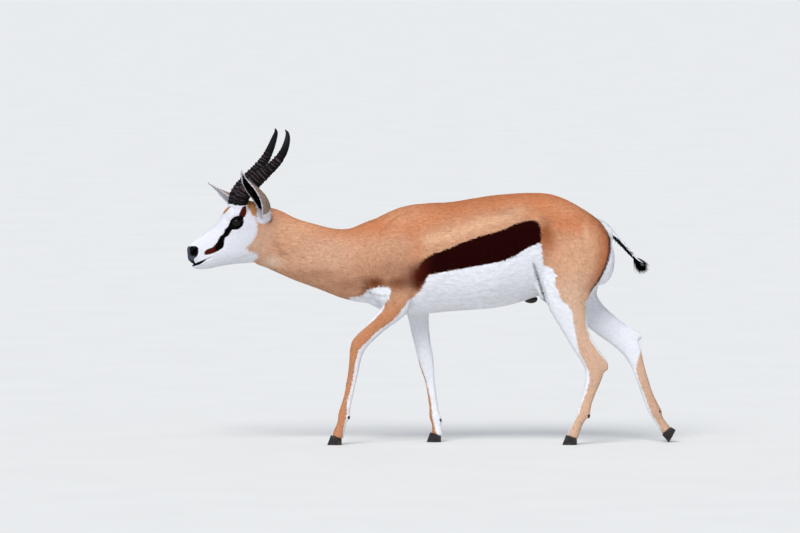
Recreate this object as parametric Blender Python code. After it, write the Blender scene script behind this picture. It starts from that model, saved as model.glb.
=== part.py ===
"""A springbok ram at a slow walk with its neck stretched forward, life size, as solids.

Metres, +Z up. The ram faces -X, its left side is at -Y, and the origin lies on the floor
under the middle of its length. Each mass of flesh is a tube through a few measured rings.
The tubes are melted into one smooth body, which thin cuts part into head, neck, torso and
legs. Ears, eyes, horns, hooves, sheath and tail are made on their own and fitted to it.
"""

import math

import bmesh
import bpy
import numpy as np
from mathutils import Matrix, Vector

MM = 0.001
GAP = 0.3 * MM  # between two pieces that meet

# Trunk rings, in mm: place along the body, back line, belly line, half width,
# height of the widest level as a share of the depth, squareness above and below it
TRUNK = [
    (-222, 686, 462, 66, 0.52, 2.0, 1.9),
    (-186, 705, 434, 80, 0.50, 2.0, 1.9),
    (-145, 726, 417, 89, 0.48, 1.9, 1.9),
    (-98, 746, 408, 95, 0.46, 1.8, 1.9),
    (-50, 756, 404, 99, 0.45, 1.8, 2.0),
    (0, 760, 410, 106, 0.45, 1.8, 2.0),
    (60, 763, 416, 114, 0.45, 1.9, 2.1),
    (123, 773, 420, 121, 0.46, 2.0, 2.2),
    (186, 783, 425, 123, 0.47, 2.0, 2.2),
    (249, 789, 436, 119, 0.49, 2.0, 2.1),
    (312, 792, 455, 108, 0.52, 2.0, 2.1),
    (375, 788, 478, 100, 0.55, 2.1, 2.1),
    (438, 765, 495, 93, 0.55, 2.2, 2.0),
    (501, 727, 510, 80, 0.55, 2.2, 2.0),
    (542, 694, 528, 62, 0.55, 2.1, 2.0),
    (568, 657, 560, 44, 0.55, 2.0, 2.0),
]

# Neck rings, in mm: place, height, half depth square to the neck, half width
NECK = [
    (-600, 662, 72, 36),
    (-560, 660, 86, 42),
    (-518, 653, 94, 45),
    (-463, 628, 92, 47),
    (-402, 605, 96, 52),
    (-323, 581, 101, 60),
    (-247, 567, 118, 76),
    (-164, 572, 140, 92),
]

# Limb rings, in mm: place, height, distance from the middle plane, half depth, half width
FORELEG_LEFT = [
    (-40, 722, 36, 28, 10),
    (-60, 690, 50, 58, 20),
    (-91, 641, 62, 76, 31),
    (-123, 594, 69, 82, 36),
    (-140, 547, 73, 78, 38),
    (-133, 506, 76, 66, 35),
    (-112, 472, 78, 54, 31),
    (-106, 443, 78, 43, 28),
    (-129, 414, 77, 35, 24),
    (-161, 386, 75, 30, 20),
    (-198, 348, 73, 26.5, 17.5),
    (-226, 317, 72, 26, 18),
    (-236, 285, 71, 21, 16),
    (-243, 241, 70, 17.5, 12),
    (-252, 191, 69, 16, 11),
    (-263, 140, 68, 15.5, 11),
    (-274, 97, 67, 18, 15.5),
    (-281, 66, 67, 15, 14.5),
    (-290, 38, 67, 18, 18),
    (-297, 12, 67, 19, 18),
]
FORELEG_RIGHT = [
    (-40, 722, 36, 28, 10),
    (-56, 690, 50, 58, 20),
    (-78, 641, 62, 76, 31),
    (-98, 594, 69, 80, 36),
    (-104, 547, 73, 76, 38),
    (-84, 506, 78, 64, 35),
    (-56, 466, 76, 52, 31),
    (-44, 430, 75, 42, 27),
    (-40, 400, 73, 35, 23),
    (-35, 358, 71, 30, 19),
    (-25, 304, 69, 26.5, 17),
    (-16, 262, 67, 25, 18),
    (-9, 225, 66, 21, 15.5),
    (-3, 194, 65, 16.5, 12),
    (3, 153, 64, 15, 11),
    (9, 109, 63, 15, 11.5),
    (12, 82, 62, 18, 15.5),
    (18, 54, 62, 15, 14.5),
    (20, 30, 62, 18, 18),
    (18, 8, 62, 19, 18),
]
HINDLEG_LEFT = [
    (462, 730, 28, 28, 14),
    (457, 698, 42, 80, 38),
    (451, 645, 52, 106, 47),
    (446, 593, 57, 112, 50),
    (438, 547, 61, 106, 49),
    (428, 502, 63, 91, 44),
    (428, 461, 65, 74, 38),
    (435, 424, 66, 57, 32),
    (450, 376, 67, 43, 25),
    (472, 326, 67, 36, 20),
    (498, 285, 67, 35, 17.5),
    (514, 252, 66, 35, 17.5),
    (512, 214, 65, 27, 15),
    (501, 175, 64, 22, 12.5),
    (489, 137, 63, 19.5, 12),
    (479, 102, 62, 20.5, 15.5),
    (464, 71, 62, 16, 14.5),
    (450, 40, 62, 18.5, 18),
    (442, 12, 62, 19, 18),
]
HINDLEG_RIGHT = [
    (462, 730, 28, 28, 14),
    (458, 698, 42, 80, 38),
    (460, 645, 52, 106, 47),
    (462, 593, 57, 110, 50),
    (460, 547, 61, 98, 49),
    (460, 499, 63, 76, 43),
    (474, 448, 65, 57, 35),
    (507, 410, 65, 45, 27),
    (551, 371, 65, 41, 22),
    (590, 341, 64, 39, 19),
    (620, 312, 63, 36, 17.5),
    (638, 281, 62, 29, 16),
    (652, 244, 61, 22, 13.5),
    (668, 197, 60, 19, 12),
    (687, 143, 59, 18.5, 12),
    (706, 100, 58, 20, 15),
    (722, 68, 58, 15, 14),
    (738, 44, 58, 17, 17.5),
    (754, 22, 58, 18, 17.5),
]

# Smaller swellings, in mm: centre, half sizes, turn about Y in degrees; each is mirrored
CALCANEUS_LEFT = ((541, 262, 66), (13, 11, 34), -26)  # heel bone with the tendon's foot
CALCANEUS_RIGHT = ((634, 349, 63), (14, 11, 40), -56)
KNEE_FOLD_LEFT = ((356, 500, 64), (28, 20, 62), -16)  # skin from the flank to the stifle
KNEE_FOLD_RIGHT = ((396, 522, 58), (46, 24, 40), -35)
SEAT_BONE = ((524, 592, 44), (55, 46, 92), -6)
SHOULDER_POINT = ((-166, 532, 54), (42, 34, 58), 12)
DEWCLAW = (7, 5.5, 9)
DEWCLAWS = [  # place, height, distance out of each leg's pair, behind the fetlock
    (-257, 88, 68, -1),
    (32, 70, 62, 1),
    (498, 92, 62, -1),
    (724, 96, 58, 1),
]

# Head rings, in mm: top (place, height), underside (place, height), half width,
# level of the widest place, squareness above and below it
HEAD = [
    (-779, 615, -773, 594, 12, 0.5, 2.2, 2.2),
    (-776, 626, -765, 573, 19, 0.5, 2.3, 2.3),
    (-765, 639, -749, 558, 23, 0.5, 2.4, 2.2),
    (-750, 650, -731, 553, 25, 0.5, 2.4, 2.1),
    (-730, 662, -708, 554, 28, 0.5, 2.3, 2.0),
    (-710, 675, -679, 560, 32, 0.52, 2.2, 1.9),
    (-691, 688, -646, 565, 38, 0.55, 2.2, 1.9),
    (-676, 705, -616, 568, 44, 0.58, 2.3, 1.95),
    (-663, 724, -593, 569, 49, 0.62, 2.4, 2.0),
    (-646, 745, -576, 570, 52, 0.64, 2.5, 2.0),
    (-619, 757, -563, 571, 52, 0.64, 2.4, 2.0),
    (-586, 762, -553, 570, 50, 0.62, 2.3, 2.0),
    (-553, 763, -545, 568, 47, 0.58, 2.1, 2.0),
    (-524, 754, -533, 564, 44, 0.55, 2.0, 2.0),
    (-498, 734, -515, 575, 36, 0.55, 2.0, 2.0),
]
BROW = ((-626, 720, 32), (36, 19, 20), -20)
MUZZLE_PAD = ((-754, 595, 11), (22, 14, 20), -20)
CHIN = ((-744, 564, 0), (20, 15, 11), 8)

HEAD_YAW = math.radians(18)  # the head looks a little to the ram's left
PIVOT = -513 * MM
BEND_START = -430 * MM
BEND_END = -545 * MM

EYE_CENTRE = (-628, 700, 37)
EYE_RADIUS = 19
EYE_OUTLOOK = (-0.30, 0.94, 0.12)  # forward, outward, up
EYE_TILT = math.radians(-30)  # the inner corner points down the face
LID_OPENING = (16.0, 11.5)

MOUTH = [(-776, 577), (-760, 568), (-742, 575), (-725, 584), (-708, 590)]
NOSTRIL = (-762, 611)
NOSTRIL_SIZE = (7.5, 3.6)
NOSTRIL_TILT = math.radians(48)

# Horn line, in mm on the straight head: place, height, distance out, radius
HORN = [
    (-612, 738, 26, 23),
    (-613, 760, 27, 24.5),
    (-600, 793, 34, 23.5),
    (-568, 828, 43, 22),
    (-533, 861, 53, 19),
    (-504, 891, 65, 16),
    (-484, 924, 73, 13),
    (-472, 956, 70, 10),
    (-468, 978, 61, 6.5),
    (-473, 991, 54, 1.8),
]
HORN_RIDGES = 17
HORN_RIDGED_SHARE = 0.74
RIDGE_HEIGHT = 1.7

# Ear line on the straight head: root, then the way to the tip, in mm
EAR_ROOT_LEFT = (-537, 722, 34)
EAR_ROOT_RIGHT = (-545, 702, 35)
EAR_REACH_LEFT = (-97, 77, 144)
EAR_REACH_RIGHT = (-121, 105, 113)
EAR_OPENING_LEFT = (-0.98, 0.02, 0.0)
EAR_OPENING_RIGHT = (-0.86, -0.12, -0.48)
# Share of the ear's length, and how far the ear bends forward there, in mm
EAR_SWEEP_LEFT = [(0, 2), (0.2, -6), (0.4, -4), (0.6, 5), (0.75, 10.5), (0.9, 8), (1, 0)]
EAR_SWEEP_RIGHT = [(0, 0), (1, 0)]
EAR_TWIST_LEFT = 62  # how far the opening turns outward from root to tip, in degrees
EAR_TWIST_RIGHT = 0
EAR_BOW = 11  # how far the ear bulges outward, half way up
EAR_HALF_WIDTH = 28
EAR_THICKNESS = 2.6

# Tail rings, in mm: place, height, half depth, half width
TAIL = [
    (520, 702, 13, 17),
    (544, 689, 12, 15),
    (570, 662, 9, 10),
    (602, 631, 7, 8),
    (633, 598, 6, 7),
    (654, 572, 4, 5),
]
# Tuft locks, in mm: share of the tail where it springs, turn round the tail in degrees,
# length, half width, spread away from the tail in degrees
TUFT = [
    (0.70, 0, 40, 9, 10),
    (0.72, 150, 38, 9, 8),
    (0.74, 210, 40, 9, 9),
    (0.78, 70, 40, 10, 13),
    (0.78, 290, 42, 10, 14),
    (0.83, 20, 42, 10, 18),
    (0.84, 170, 40, 10, 15),
    (0.86, 115, 42, 10, 17),
    (0.86, 245, 40, 10, 18),
    (0.90, 330, 42, 10, 20),
    (0.92, 60, 40, 10, 16),
    (0.93, 190, 44, 10, 11),
    (0.95, 270, 40, 10, 9),
    (0.96, 10, 44, 9, 7),
    (0.97, 130, 42, 9, 5),
]
LOCK_THICKNESS = 2.4
LOCK_CURL = 0.35
SHEATH = ((312, 457, 0), (24, 11, 14.5), 8)

SIDES = 20
BODY_TRIANGLES = 6400
HEAD_TRIANGLES = 2900
TO_ORIGIN = Vector((-4, 11, 0)) * MM  # from the middle plane to the middle of the whole box

FUR_TAN = (0.60, 0.31, 0.17)
FUR_CINNAMON = (0.56, 0.25, 0.11)
FUR_WHITE = (0.80, 0.80, 0.84)
HORN_BLACK = (0.018, 0.015, 0.017)
EYE_BLACK = (0.010, 0.007, 0.006)


def material(name, colour, roughness):
    """A plain finish with the piece's own colour."""
    made = bpy.data.materials.get(name) or bpy.data.materials.new(name)
    made.use_nodes = True
    shader = made.node_tree.nodes["Principled BSDF"]
    shader.inputs["Base Color"].default_value = (*colour, 1)
    shader.inputs["Roughness"].default_value = roughness
    shader.inputs["Metallic"].default_value = 0
    made.diffuse_color = (*colour, 1)
    return made


def piece(name, mesh, finish):
    """Adds a mesh to the scene as a named object with one material."""
    mesh = mesh.copy()
    mesh.transform(Matrix.Translation(TO_ORIGIN))
    obj = bpy.data.objects.new(name, mesh)
    bpy.context.scene.collection.objects.link(obj)
    mesh.name = name
    mesh.materials.clear()
    mesh.materials.append(finish)
    mesh.shade_smooth()
    mesh.set_sharp_from_angle(angle=math.radians(50))
    return obj


def flow(stations, steps):
    """Rows on a smooth curve through the stations, with `steps` rows to each span."""
    rows = np.array(stations, float)
    ends = np.vstack([2 * rows[0] - rows[1], rows, 2 * rows[-1] - rows[-2]])
    t = np.linspace(0, 1, steps, endpoint=False)[:, None]
    spans = []
    for a, b, c, d in zip(ends, ends[1:], ends[2:], ends[3:]):
        bent = 2 * a - 5 * b + 4 * c - d + t * (3 * (b - c) + d - a)
        spans.append(b + 0.5 * t * (c - a + t * bent))
    return np.vstack(spans + [rows[-1:]])


def unit(vectors):
    return vectors / np.linalg.norm(vectors, axis=-1, keepdims=True)


def squared(angle_part, squareness):
    """A cosine or sine made fuller, as in a superellipse."""
    return np.sign(angle_part) * np.abs(angle_part) ** (2 / squareness)


def tube(rings):
    """A closed mesh whose skin runs over rings of equal count, with flat ends."""
    shape = bmesh.new()
    loops = [[shape.verts.new(point) for point in ring] for ring in rings]
    for low, high in zip(loops, loops[1:]):
        for i in range(len(low)):
            j = (i + 1) % len(low)
            shape.faces.new((low[i], low[j], high[j], high[i]))
    shape.faces.new(loops[0][::-1])
    shape.faces.new(loops[-1])
    bmesh.ops.recalc_face_normals(shape, faces=shape.faces)
    if shape.calc_volume(signed=True) < 0:
        bmesh.ops.reverse_faces(shape, faces=shape.faces)
    return shape


def trunk_rings():
    """Egg-shaped upright rings for chest, barrel and rump."""
    angles = np.linspace(0, 2 * math.pi, 32, endpoint=False)
    rings = []
    for x, back, belly, width, level, above, below in flow(TRUNK, 3):
        middle = belly + (back - belly) * level
        upper = np.sin(angles) >= 0
        power = np.where(upper, above, below)
        side = width * squared(np.cos(angles), power)
        reach = np.where(upper, back - middle, middle - belly)
        rise = middle + reach * squared(np.sin(angles), power)
        rings.append(np.column_stack([np.full(len(angles), x), side, rise]) * MM)
    return rings


def along_rings(centres, depths, widths, squareness=2.1, sides=SIDES):
    """Rings square to a line that bends in the upright plane."""
    line = np.array(centres)
    slope = np.gradient(line[:, [0, 2]], axis=0)
    slope = unit(slope)
    angles = np.linspace(0, 2 * math.pi, sides, endpoint=False)
    fore = squared(np.cos(angles), squareness)
    out = squared(np.sin(angles), squareness)
    rings = []
    for centre, (run, rise), depth, width in zip(line, slope, depths, widths):
        across = np.array([-rise, 0, run])
        spot = centre + np.outer(fore * depth, across) + np.outer(out * width, (0, 1, 0))
        rings.append(spot * MM)
    return rings


def limb(stations, side):
    """A leg's flesh; side is -1 on the left and +1 on the right."""
    rows = flow(stations, 3)
    centres = np.column_stack([rows[:, 0], side * rows[:, 2], rows[:, 1]])
    return tube(along_rings(centres, rows[:, 3], rows[:, 4]))


def neck():
    rows = flow(NECK, 3)
    centres = np.column_stack([rows[:, 0], np.zeros(len(rows)), rows[:, 1]])
    return tube(along_rings(centres, rows[:, 2], rows[:, 3], 1.9))


def head_rings():
    """Slanting rings from the nose to behind the ears."""
    angles = np.linspace(0, 2 * math.pi, 32, endpoint=False)
    rings = []
    for top_x, top_z, low_x, low_z, width, level, above, below in flow(HEAD, 4):
        upper = np.sin(angles) >= 0
        power = np.where(upper, above, below)
        side = width * squared(np.cos(angles), power)
        reach = np.where(upper, 1 - level, level)
        share = level + reach * squared(np.sin(angles), power)
        x = low_x + (top_x - low_x) * share
        z = low_z + (top_z - low_z) * share
        rings.append(np.column_stack([x, side, z]) * MM)
    return rings


def swelling(centre, sizes, tilt, side=1):
    """An egg-shaped mass, turned about Y."""
    shape = bmesh.new()
    bmesh.ops.create_uvsphere(shape, u_segments=20, v_segments=12, radius=MM)
    place = Vector((centre[0], side * centre[2], centre[1])) * MM
    turn = Matrix.Rotation(math.radians(tilt), 4, "Y")
    scale = Matrix.Diagonal((*sizes, 1))
    bmesh.ops.transform(shape, matrix=Matrix.Translation(place) @ turn @ scale, verts=shape.verts)
    return shape


def turned(points):
    """Points of the straight neck and head once the head is turned to the left."""
    share = np.clip((BEND_START - points[:, 0]) / (BEND_START - BEND_END), 0, 1)
    angle = HEAD_YAW * share * share * (3 - 2 * share)
    x = points[:, 0] - PIVOT
    y = points[:, 1]
    return np.column_stack(
        [
            PIVOT + x * np.cos(angle) - y * np.sin(angle),
            x * np.sin(angle) + y * np.cos(angle),
            points[:, 2],
        ]
    )


def with_head(points):
    """Points of the horns, ears and eyes, turned with the head."""
    x = points[:, 0] - PIVOT
    y = points[:, 1]
    cosine, sine = math.cos(HEAD_YAW), math.sin(HEAD_YAW)
    return np.column_stack([PIVOT + x * cosine - y * sine, x * sine + y * cosine, points[:, 2]])


def points_of(mesh):
    found = np.empty(len(mesh.vertices) * 3)
    mesh.vertices.foreach_get("co", found)
    return found.reshape(-1, 3)


def normals_of(mesh):
    found = np.empty(len(mesh.vertices) * 3, np.float32)
    mesh.vertices.foreach_get("normal", found)
    return found.reshape(-1, 3).astype(float)


def place_points(mesh, points):
    mesh.vertices.foreach_set("co", np.ascontiguousarray(points).ravel())
    mesh.update()


def mesh_from(shape):
    mesh = bpy.data.meshes.new("form")
    shape.to_mesh(mesh)
    shape.free()
    return mesh


def evaluated(mesh, adjust):
    """The mesh after the modifiers that `adjust` puts on an object of it."""
    holder = bpy.data.objects.new("holder", mesh)
    bpy.context.scene.collection.objects.link(holder)
    adjust(holder)
    bpy.context.view_layer.update()
    graph = bpy.context.evaluated_depsgraph_get()
    result = bpy.data.meshes.new_from_object(holder.evaluated_get(graph))
    bpy.data.objects.remove(holder)
    return result


def joined(shapes):
    """Overlapping closed shapes as one mesh, still with their inner walls."""
    whole = bmesh.new()
    for shape in shapes:
        mesh = mesh_from(shape)
        whole.from_mesh(mesh)
        bpy.data.meshes.remove(mesh)
    return mesh_from(whole)


def relaxed(mesh, rounds, share=None):
    """Smooths the skin without shrinking the form, by a share at each point."""
    ends = np.empty(len(mesh.edges) * 2, np.int32)
    mesh.edges.foreach_get("vertices", ends)
    a, b = ends.reshape(-1, 2).T
    count = np.bincount(a, minlength=len(mesh.vertices)) + np.bincount(b, minlength=len(mesh.vertices))
    points = points_of(mesh)
    for _ in range(rounds):
        for strength in (0.5, -0.52):
            mean = np.empty_like(points)
            for axis in range(3):
                total = np.bincount(a, points[b, axis], len(points))
                total += np.bincount(b, points[a, axis], len(points))
                mean[:, axis] = total / count
            pull = strength * (mean - points)
            points += pull if share is None else share[:, None] * pull
    place_points(mesh, points)
    return mesh


def melted(shapes, grain, rounds):
    """Shapes joined under one skin of small even faces."""

    def remesh(holder):
        modifier = holder.modifiers.new("Skin", "REMESH")
        modifier.mode = "VOXEL"
        modifier.voxel_size = grain

    return relaxed(evaluated(joined(shapes), remesh), rounds)


def thinned(mesh, triangles):
    """The same form in about so many triangles."""

    def decimate(holder):
        modifier = holder.modifiers.new("Fewer", "DECIMATE")
        modifier.ratio = triangles / (2 * len(mesh.polygons))
        modifier.use_collapse_triangulate = True

    return evaluated(mesh, decimate)


def largest(mesh):
    """The mesh's largest closed surface alone."""
    shape = bmesh.new()
    shape.from_mesh(mesh)
    waiting = set(shape.verts)
    groups = []
    while waiting:
        front = [waiting.pop()]
        group = set(front)
        while front:
            vertex = front.pop()
            for edge in vertex.link_edges:
                other = edge.other_vert(vertex)
                if other not in group:
                    group.add(other)
                    waiting.discard(other)
                    front.append(other)
        groups.append(group)
    groups.sort(key=len)
    for group in groups[:-1]:
        bmesh.ops.delete(shape, geom=list(group), context="VERTS")
    shape.to_mesh(mesh)
    shape.free()
    return mesh


def carved(mesh, tool, operation="DIFFERENCE"):
    """The mesh less the tool, or what both share, or both together."""
    cutter = bpy.data.objects.new("cutter", tool)
    cutter.hide_render = True
    cutter.display_type = "WIRE"
    bpy.context.scene.collection.objects.link(cutter)

    def cut(holder):
        modifier = holder.modifiers.new("Cut", "BOOLEAN")
        modifier.operation = operation
        modifier.solver = "EXACT"
        modifier.object = cutter

    result = evaluated(mesh, cut)
    bpy.data.objects.remove(cutter)
    return largest(result)


def swollen(mesh, amount):
    """A copy whose skin stands out by the amount, to leave a gap when it cuts."""
    copy = mesh.copy()
    place_points(copy, points_of(mesh) + amount * normals_of(mesh))
    return copy


def sliced(mesh, point, normal, keep_front, gap=GAP):
    """Keeps one side of a plane, half a gap away from it, and closes the cut."""
    shape = bmesh.new()
    shape.from_mesh(mesh)
    normal = Vector(normal).normalized()
    shift = normal * (gap / 2 if keep_front else -gap / 2)
    geometry = shape.verts[:] + shape.edges[:] + shape.faces[:]
    cut = bmesh.ops.bisect_plane(
        shape,
        geom=geometry,
        dist=1e-7,
        plane_co=Vector(point) + shift,
        plane_no=normal,
        clear_inner=keep_front,
        clear_outer=not keep_front,
    )
    rim = [item for item in cut["geom_cut"] if isinstance(item, bmesh.types.BMEdge)]
    made = bmesh.ops.triangle_fill(shape, edges=rim, use_beauty=True)
    bmesh.ops.recalc_face_normals(shape, faces=shape.faces)
    result = bpy.data.meshes.new("cut")
    shape.to_mesh(result)
    shape.free()
    return largest(result)


def corner_block(point, normal, front, back, inner, side, amount=0.0):
    """A block under a slanting plane, for one leg: it holds all that is cut off."""
    up = Vector(normal).normalized()
    shape = bmesh.new()
    bmesh.ops.create_cube(shape, size=1)
    low, high = -0.1, 1.2
    for vertex in shape.verts:
        x = back + amount if vertex.co.x > 0 else front - amount
        y = side * (0.4 if vertex.co.y * side > 0 else inner - amount)
        level = point[2] - ((x - point[0]) * up.x + (y - point[1]) * up.y) / up.z
        z = level + amount if vertex.co.z > 0 else low
        vertex.co = (x, y, min(z, high))
    return mesh_from(shape)


def clear_scene():
    for obj in list(bpy.data.objects):
        bpy.data.objects.remove(obj)


def body_mesh():
    """Trunk, neck and legs as one smooth form, with the head's core to blend the throat."""
    shapes = [tube(trunk_rings()), neck(), tube(head_rings())]
    for mesh in shapes[1:]:
        for vertex in mesh.verts:
            vertex.co = turned(np.array([vertex.co]))[0]
    shapes.append(limb(FORELEG_LEFT, -1))
    shapes.append(limb(FORELEG_RIGHT, 1))
    shapes.append(limb(HINDLEG_LEFT, -1))
    shapes.append(limb(HINDLEG_RIGHT, 1))
    shapes.append(swelling(*CALCANEUS_LEFT, side=-1))
    shapes.append(swelling(*CALCANEUS_RIGHT, side=1))
    shapes.append(swelling(*KNEE_FOLD_LEFT, side=-1))
    shapes.append(swelling(*KNEE_FOLD_RIGHT, side=1))
    for side in (-1, 1):
        for mass in (SEAT_BONE, SHOULDER_POINT):
            shapes.append(swelling(*mass, side=side))
    for x, z, out, side in DEWCLAWS:
        for half in (-8, 8):
            shapes.append(swelling((x, z, out + half), DEWCLAW, 0, side=side))
    mesh = melted(shapes, 5 * MM, 12)
    return relaxed(mesh, 110, np.clip((points_of(mesh)[:, 2] - 0.40) / 0.12, 0, 1))


def eye_frame(side):
    """The eye's centre and its outlook, long axis and upward axis on the straight head."""
    centre = np.array([EYE_CENTRE[0], side * EYE_CENTRE[2], EYE_CENTRE[1]]) * MM
    outlook = unit(np.array([EYE_OUTLOOK[0], side * EYE_OUTLOOK[1], EYE_OUTLOOK[2]]))
    along = np.array([math.cos(EYE_TILT), 0, -math.sin(EYE_TILT)])
    along = unit(along - outlook * (along @ outlook))
    upward = np.cross(along, outlook) * side
    return centre, outlook, along, upward


def shape_eyes(points, normals):
    """Sinks the opening between the lids and raises their rims and the brow."""
    for side in (-1, 1):
        centre, outlook, along, upward = eye_frame(side)
        offset = points - centre
        across = offset @ along / (LID_OPENING[0] * MM)
        height = offset @ upward / (LID_OPENING[1] * MM)
        beside = (offset @ outlook > 0)[:, None]
        reach = np.hypot(across, height)
        sunk = 7.0 * MM * np.clip((1.12 - reach) / 0.34, 0, 1) ** 1.5
        rim = 3.0 * MM * np.exp(-(((reach - 1.25) / 0.26) ** 2))
        points += beside * ((rim - sunk)[:, None] * outlook)
    return points


def shape_mouth(points, normals):
    """Presses the line of the mouth and the nostrils into the muzzle."""
    line = flow(MOUTH, 8) * MM
    flat = points[:, [0, 2]]
    distance = np.min(np.linalg.norm(flat[:, None] - line[None], axis=2), axis=1)
    points -= (2.6 * MM * np.exp(-((distance / (2.2 * MM)) ** 2)))[:, None] * normals
    x = flat[:, 0] - NOSTRIL[0] * MM
    z = flat[:, 1] - NOSTRIL[1] * MM
    along = (x * math.cos(NOSTRIL_TILT) + z * math.sin(NOSTRIL_TILT)) / (NOSTRIL_SIZE[0] * MM)
    across = (z * math.cos(NOSTRIL_TILT) - x * math.sin(NOSTRIL_TILT)) / (NOSTRIL_SIZE[1] * MM)
    reach = np.hypot(along, across)
    beside = np.abs(points[:, 1]) > 7 * MM
    depth = 6.5 * MM * np.clip(1.25 - reach, 0, 1)
    points -= (beside * depth)[:, None] * normals
    return points


def head_mesh():
    """The head in fine faces, with lids, mouth line and nostrils, on the turned neck."""
    shapes = [neck(), tube(head_rings()), swelling(*CHIN)]
    for side in (-1, 1):
        for mass in (BROW, MUZZLE_PAD):
            shapes.append(swelling(*mass, side=side))
    mesh = melted(shapes, 2.2 * MM, 30)
    behind = np.clip((points_of(mesh)[:, 0] + 600 * MM) / (40 * MM), 0, 1)
    mesh = relaxed(mesh, 90, behind)
    near = points_of(mesh)[:, 0] < -500 * MM
    points = points_of(mesh)
    normals = normals_of(mesh)
    points[near] = shape_mouth(points[near], normals[near])
    points[near] = shape_eyes(points[near], normals[near])
    place_points(mesh, turned(points))
    return mesh


def headed(point):
    return Vector(with_head(np.array([point]))[0])


def eyeball(side, extra=0.0):
    centre, outlook, along, upward = eye_frame(side)
    shape = bmesh.new()
    radius = EYE_RADIUS * MM + extra
    bmesh.ops.create_icosphere(shape, subdivisions=3, radius=radius)
    place = Matrix.Translation(headed(centre))
    bmesh.ops.transform(shape, matrix=place, verts=shape.verts)
    return mesh_from(shape)


def round_rings(line, radii, squash=1.0):
    """Round rings square to a line in space, without twist."""
    line = np.array(line)
    ahead = unit(np.gradient(line, axis=0))
    sideways = unit(np.cross(ahead[0], (1.0, 0.0, 0.1)))
    angles = np.linspace(0, 2 * math.pi, 12, endpoint=False)
    rings = []
    for centre, direction, radius in zip(line, ahead, radii):
        sideways = unit(sideways - direction * (sideways @ direction))
        other = np.cross(direction, sideways)
        circle = np.outer(np.cos(angles), sideways) * squash + np.outer(np.sin(angles), other)
        rings.append(centre + radius * circle)
    return rings


def horn(side):
    """A lyre-shaped horn with rounded ridges up to a smooth hooked tip."""
    rows = flow(HORN, 12) * MM
    line = np.column_stack([rows[:, 0], side * rows[:, 2], rows[:, 1]])
    run = np.concatenate([[0], np.cumsum(np.linalg.norm(np.diff(line, axis=0), axis=1))])
    run /= run[-1]
    ridged = np.linspace(0, HORN_RIDGED_SHARE, 2 * HORN_RIDGES + 1)
    stops = np.concatenate([ridged, np.linspace(HORN_RIDGED_SHARE, 1, 8)[1:]])
    centres = np.column_stack([np.interp(stops, run, line[:, axis]) for axis in range(3)])
    radii = np.interp(stops, run, rows[:, 3])
    raised = (np.arange(len(stops)) % 2 == 1) & (stops < HORN_RIDGED_SHARE)
    radii += np.where(raised, RIDGE_HEIGHT * MM, -0.4 * MM) * np.minimum(1, radii / (12 * MM))
    radii = np.maximum(radii, 1.2 * MM)
    return tube(round_rings(with_head(centres), radii, 0.9))


def ear(side, base, reach, faces, sweep, twist):
    """A pointed cup: a curved leaf whose edges roll forward and close at the root."""
    root = headed(np.array([base[0], side * base[2], base[1]]) * MM)
    turn = Matrix.Rotation(HEAD_YAW, 3, "Z")
    way = turn @ Vector((reach[0], side * reach[1], reach[2])) * MM
    length = way.length
    ahead = np.array(way.normalized())
    opening = np.array(turn @ Vector((faces[0], side * faces[1], faces[2])))
    opening = unit(opening - ahead * (opening @ ahead))
    across = np.cross(ahead, opening)
    outward = np.array(turn @ Vector((0, side, 0)))
    forward = np.array(turn @ Vector((-1, 0, 0)))
    start = np.array(root) - ahead * 18 * MM
    shares = np.linspace(0, 1, 13)
    turns = np.linspace(-1, 1, 8)
    rings = []
    for share in shares:
        bow = EAR_BOW * MM * math.sin(math.pi * share)
        bend = np.interp(share, *np.array(sweep).T) * MM
        centre = start + ahead * (length + 18 * MM) * share + outward * bow + forward * bend
        turned = -side * math.radians(twist) * min(1, max(0, (share - 0.15) / 0.75))
        opens = opening * math.cos(turned) + across * math.sin(turned)
        beside = np.cross(ahead, opens)
        width = EAR_HALF_WIDTH * MM * (math.sin(math.pi * min(1, share * 0.9 + 0.14)) ** 0.75)
        width = max(width * (1 - share**5), 20 * MM * math.sqrt(1 - share), 2.2 * MM)
        half_turn = math.radians(138 - 66 * share**0.8)
        radius = width / max(math.sin(min(half_turn, math.pi / 2)), 0.3)
        thick = EAR_THICKNESS * MM * (1 - 0.5 * share)
        inner = max(radius - thick, 0.9 * MM)
        arc = []
        for reach_out, spread in ((radius, turns), (inner, turns[::-1])):
            for t in spread:
                angle = half_turn * t
                spot = -opens * math.cos(angle) + beside * math.sin(angle)
                arc.append(centre + reach_out * spot)
        rings.append(np.array(arc))
    return tube(rings)


def claw(side):
    """One half of a cloven hoof around (0, 0, 0) on its sole, toe towards -X."""
    angles = np.linspace(0, 2 * math.pi, 12, endpoint=False)
    rings = []
    for share in np.linspace(0, 1, 5):
        toe = 27 - 17 * share
        heel = 19 + 2 * share - 3 * share * share
        half = 9.0 + 0.5 * math.sin(math.pi * share)
        fore = np.cos(angles)
        x = np.where(fore > 0, -toe * fore, -heel * fore)
        taper = np.where(fore > 0, 1 - 0.42 * np.abs(fore) ** 1.6, 1 - 0.15 * np.abs(fore))
        y = half * np.sin(angles) * taper + side * (10.2 + 0.5 * share)
        y -= side * 2.5 * np.clip(fore, 0, 1) ** 2
        rings.append(np.column_stack([x, y, np.full(12, 44 * share)]) * MM)
    return mesh_from(tube(rings))


def clear_of(mesh, others):
    """The mesh cut back by a gap from each of the others."""
    for other in others:
        tool = swollen(other, GAP * 1.3)
        mesh = carved(mesh, tool)
    return mesh


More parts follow.
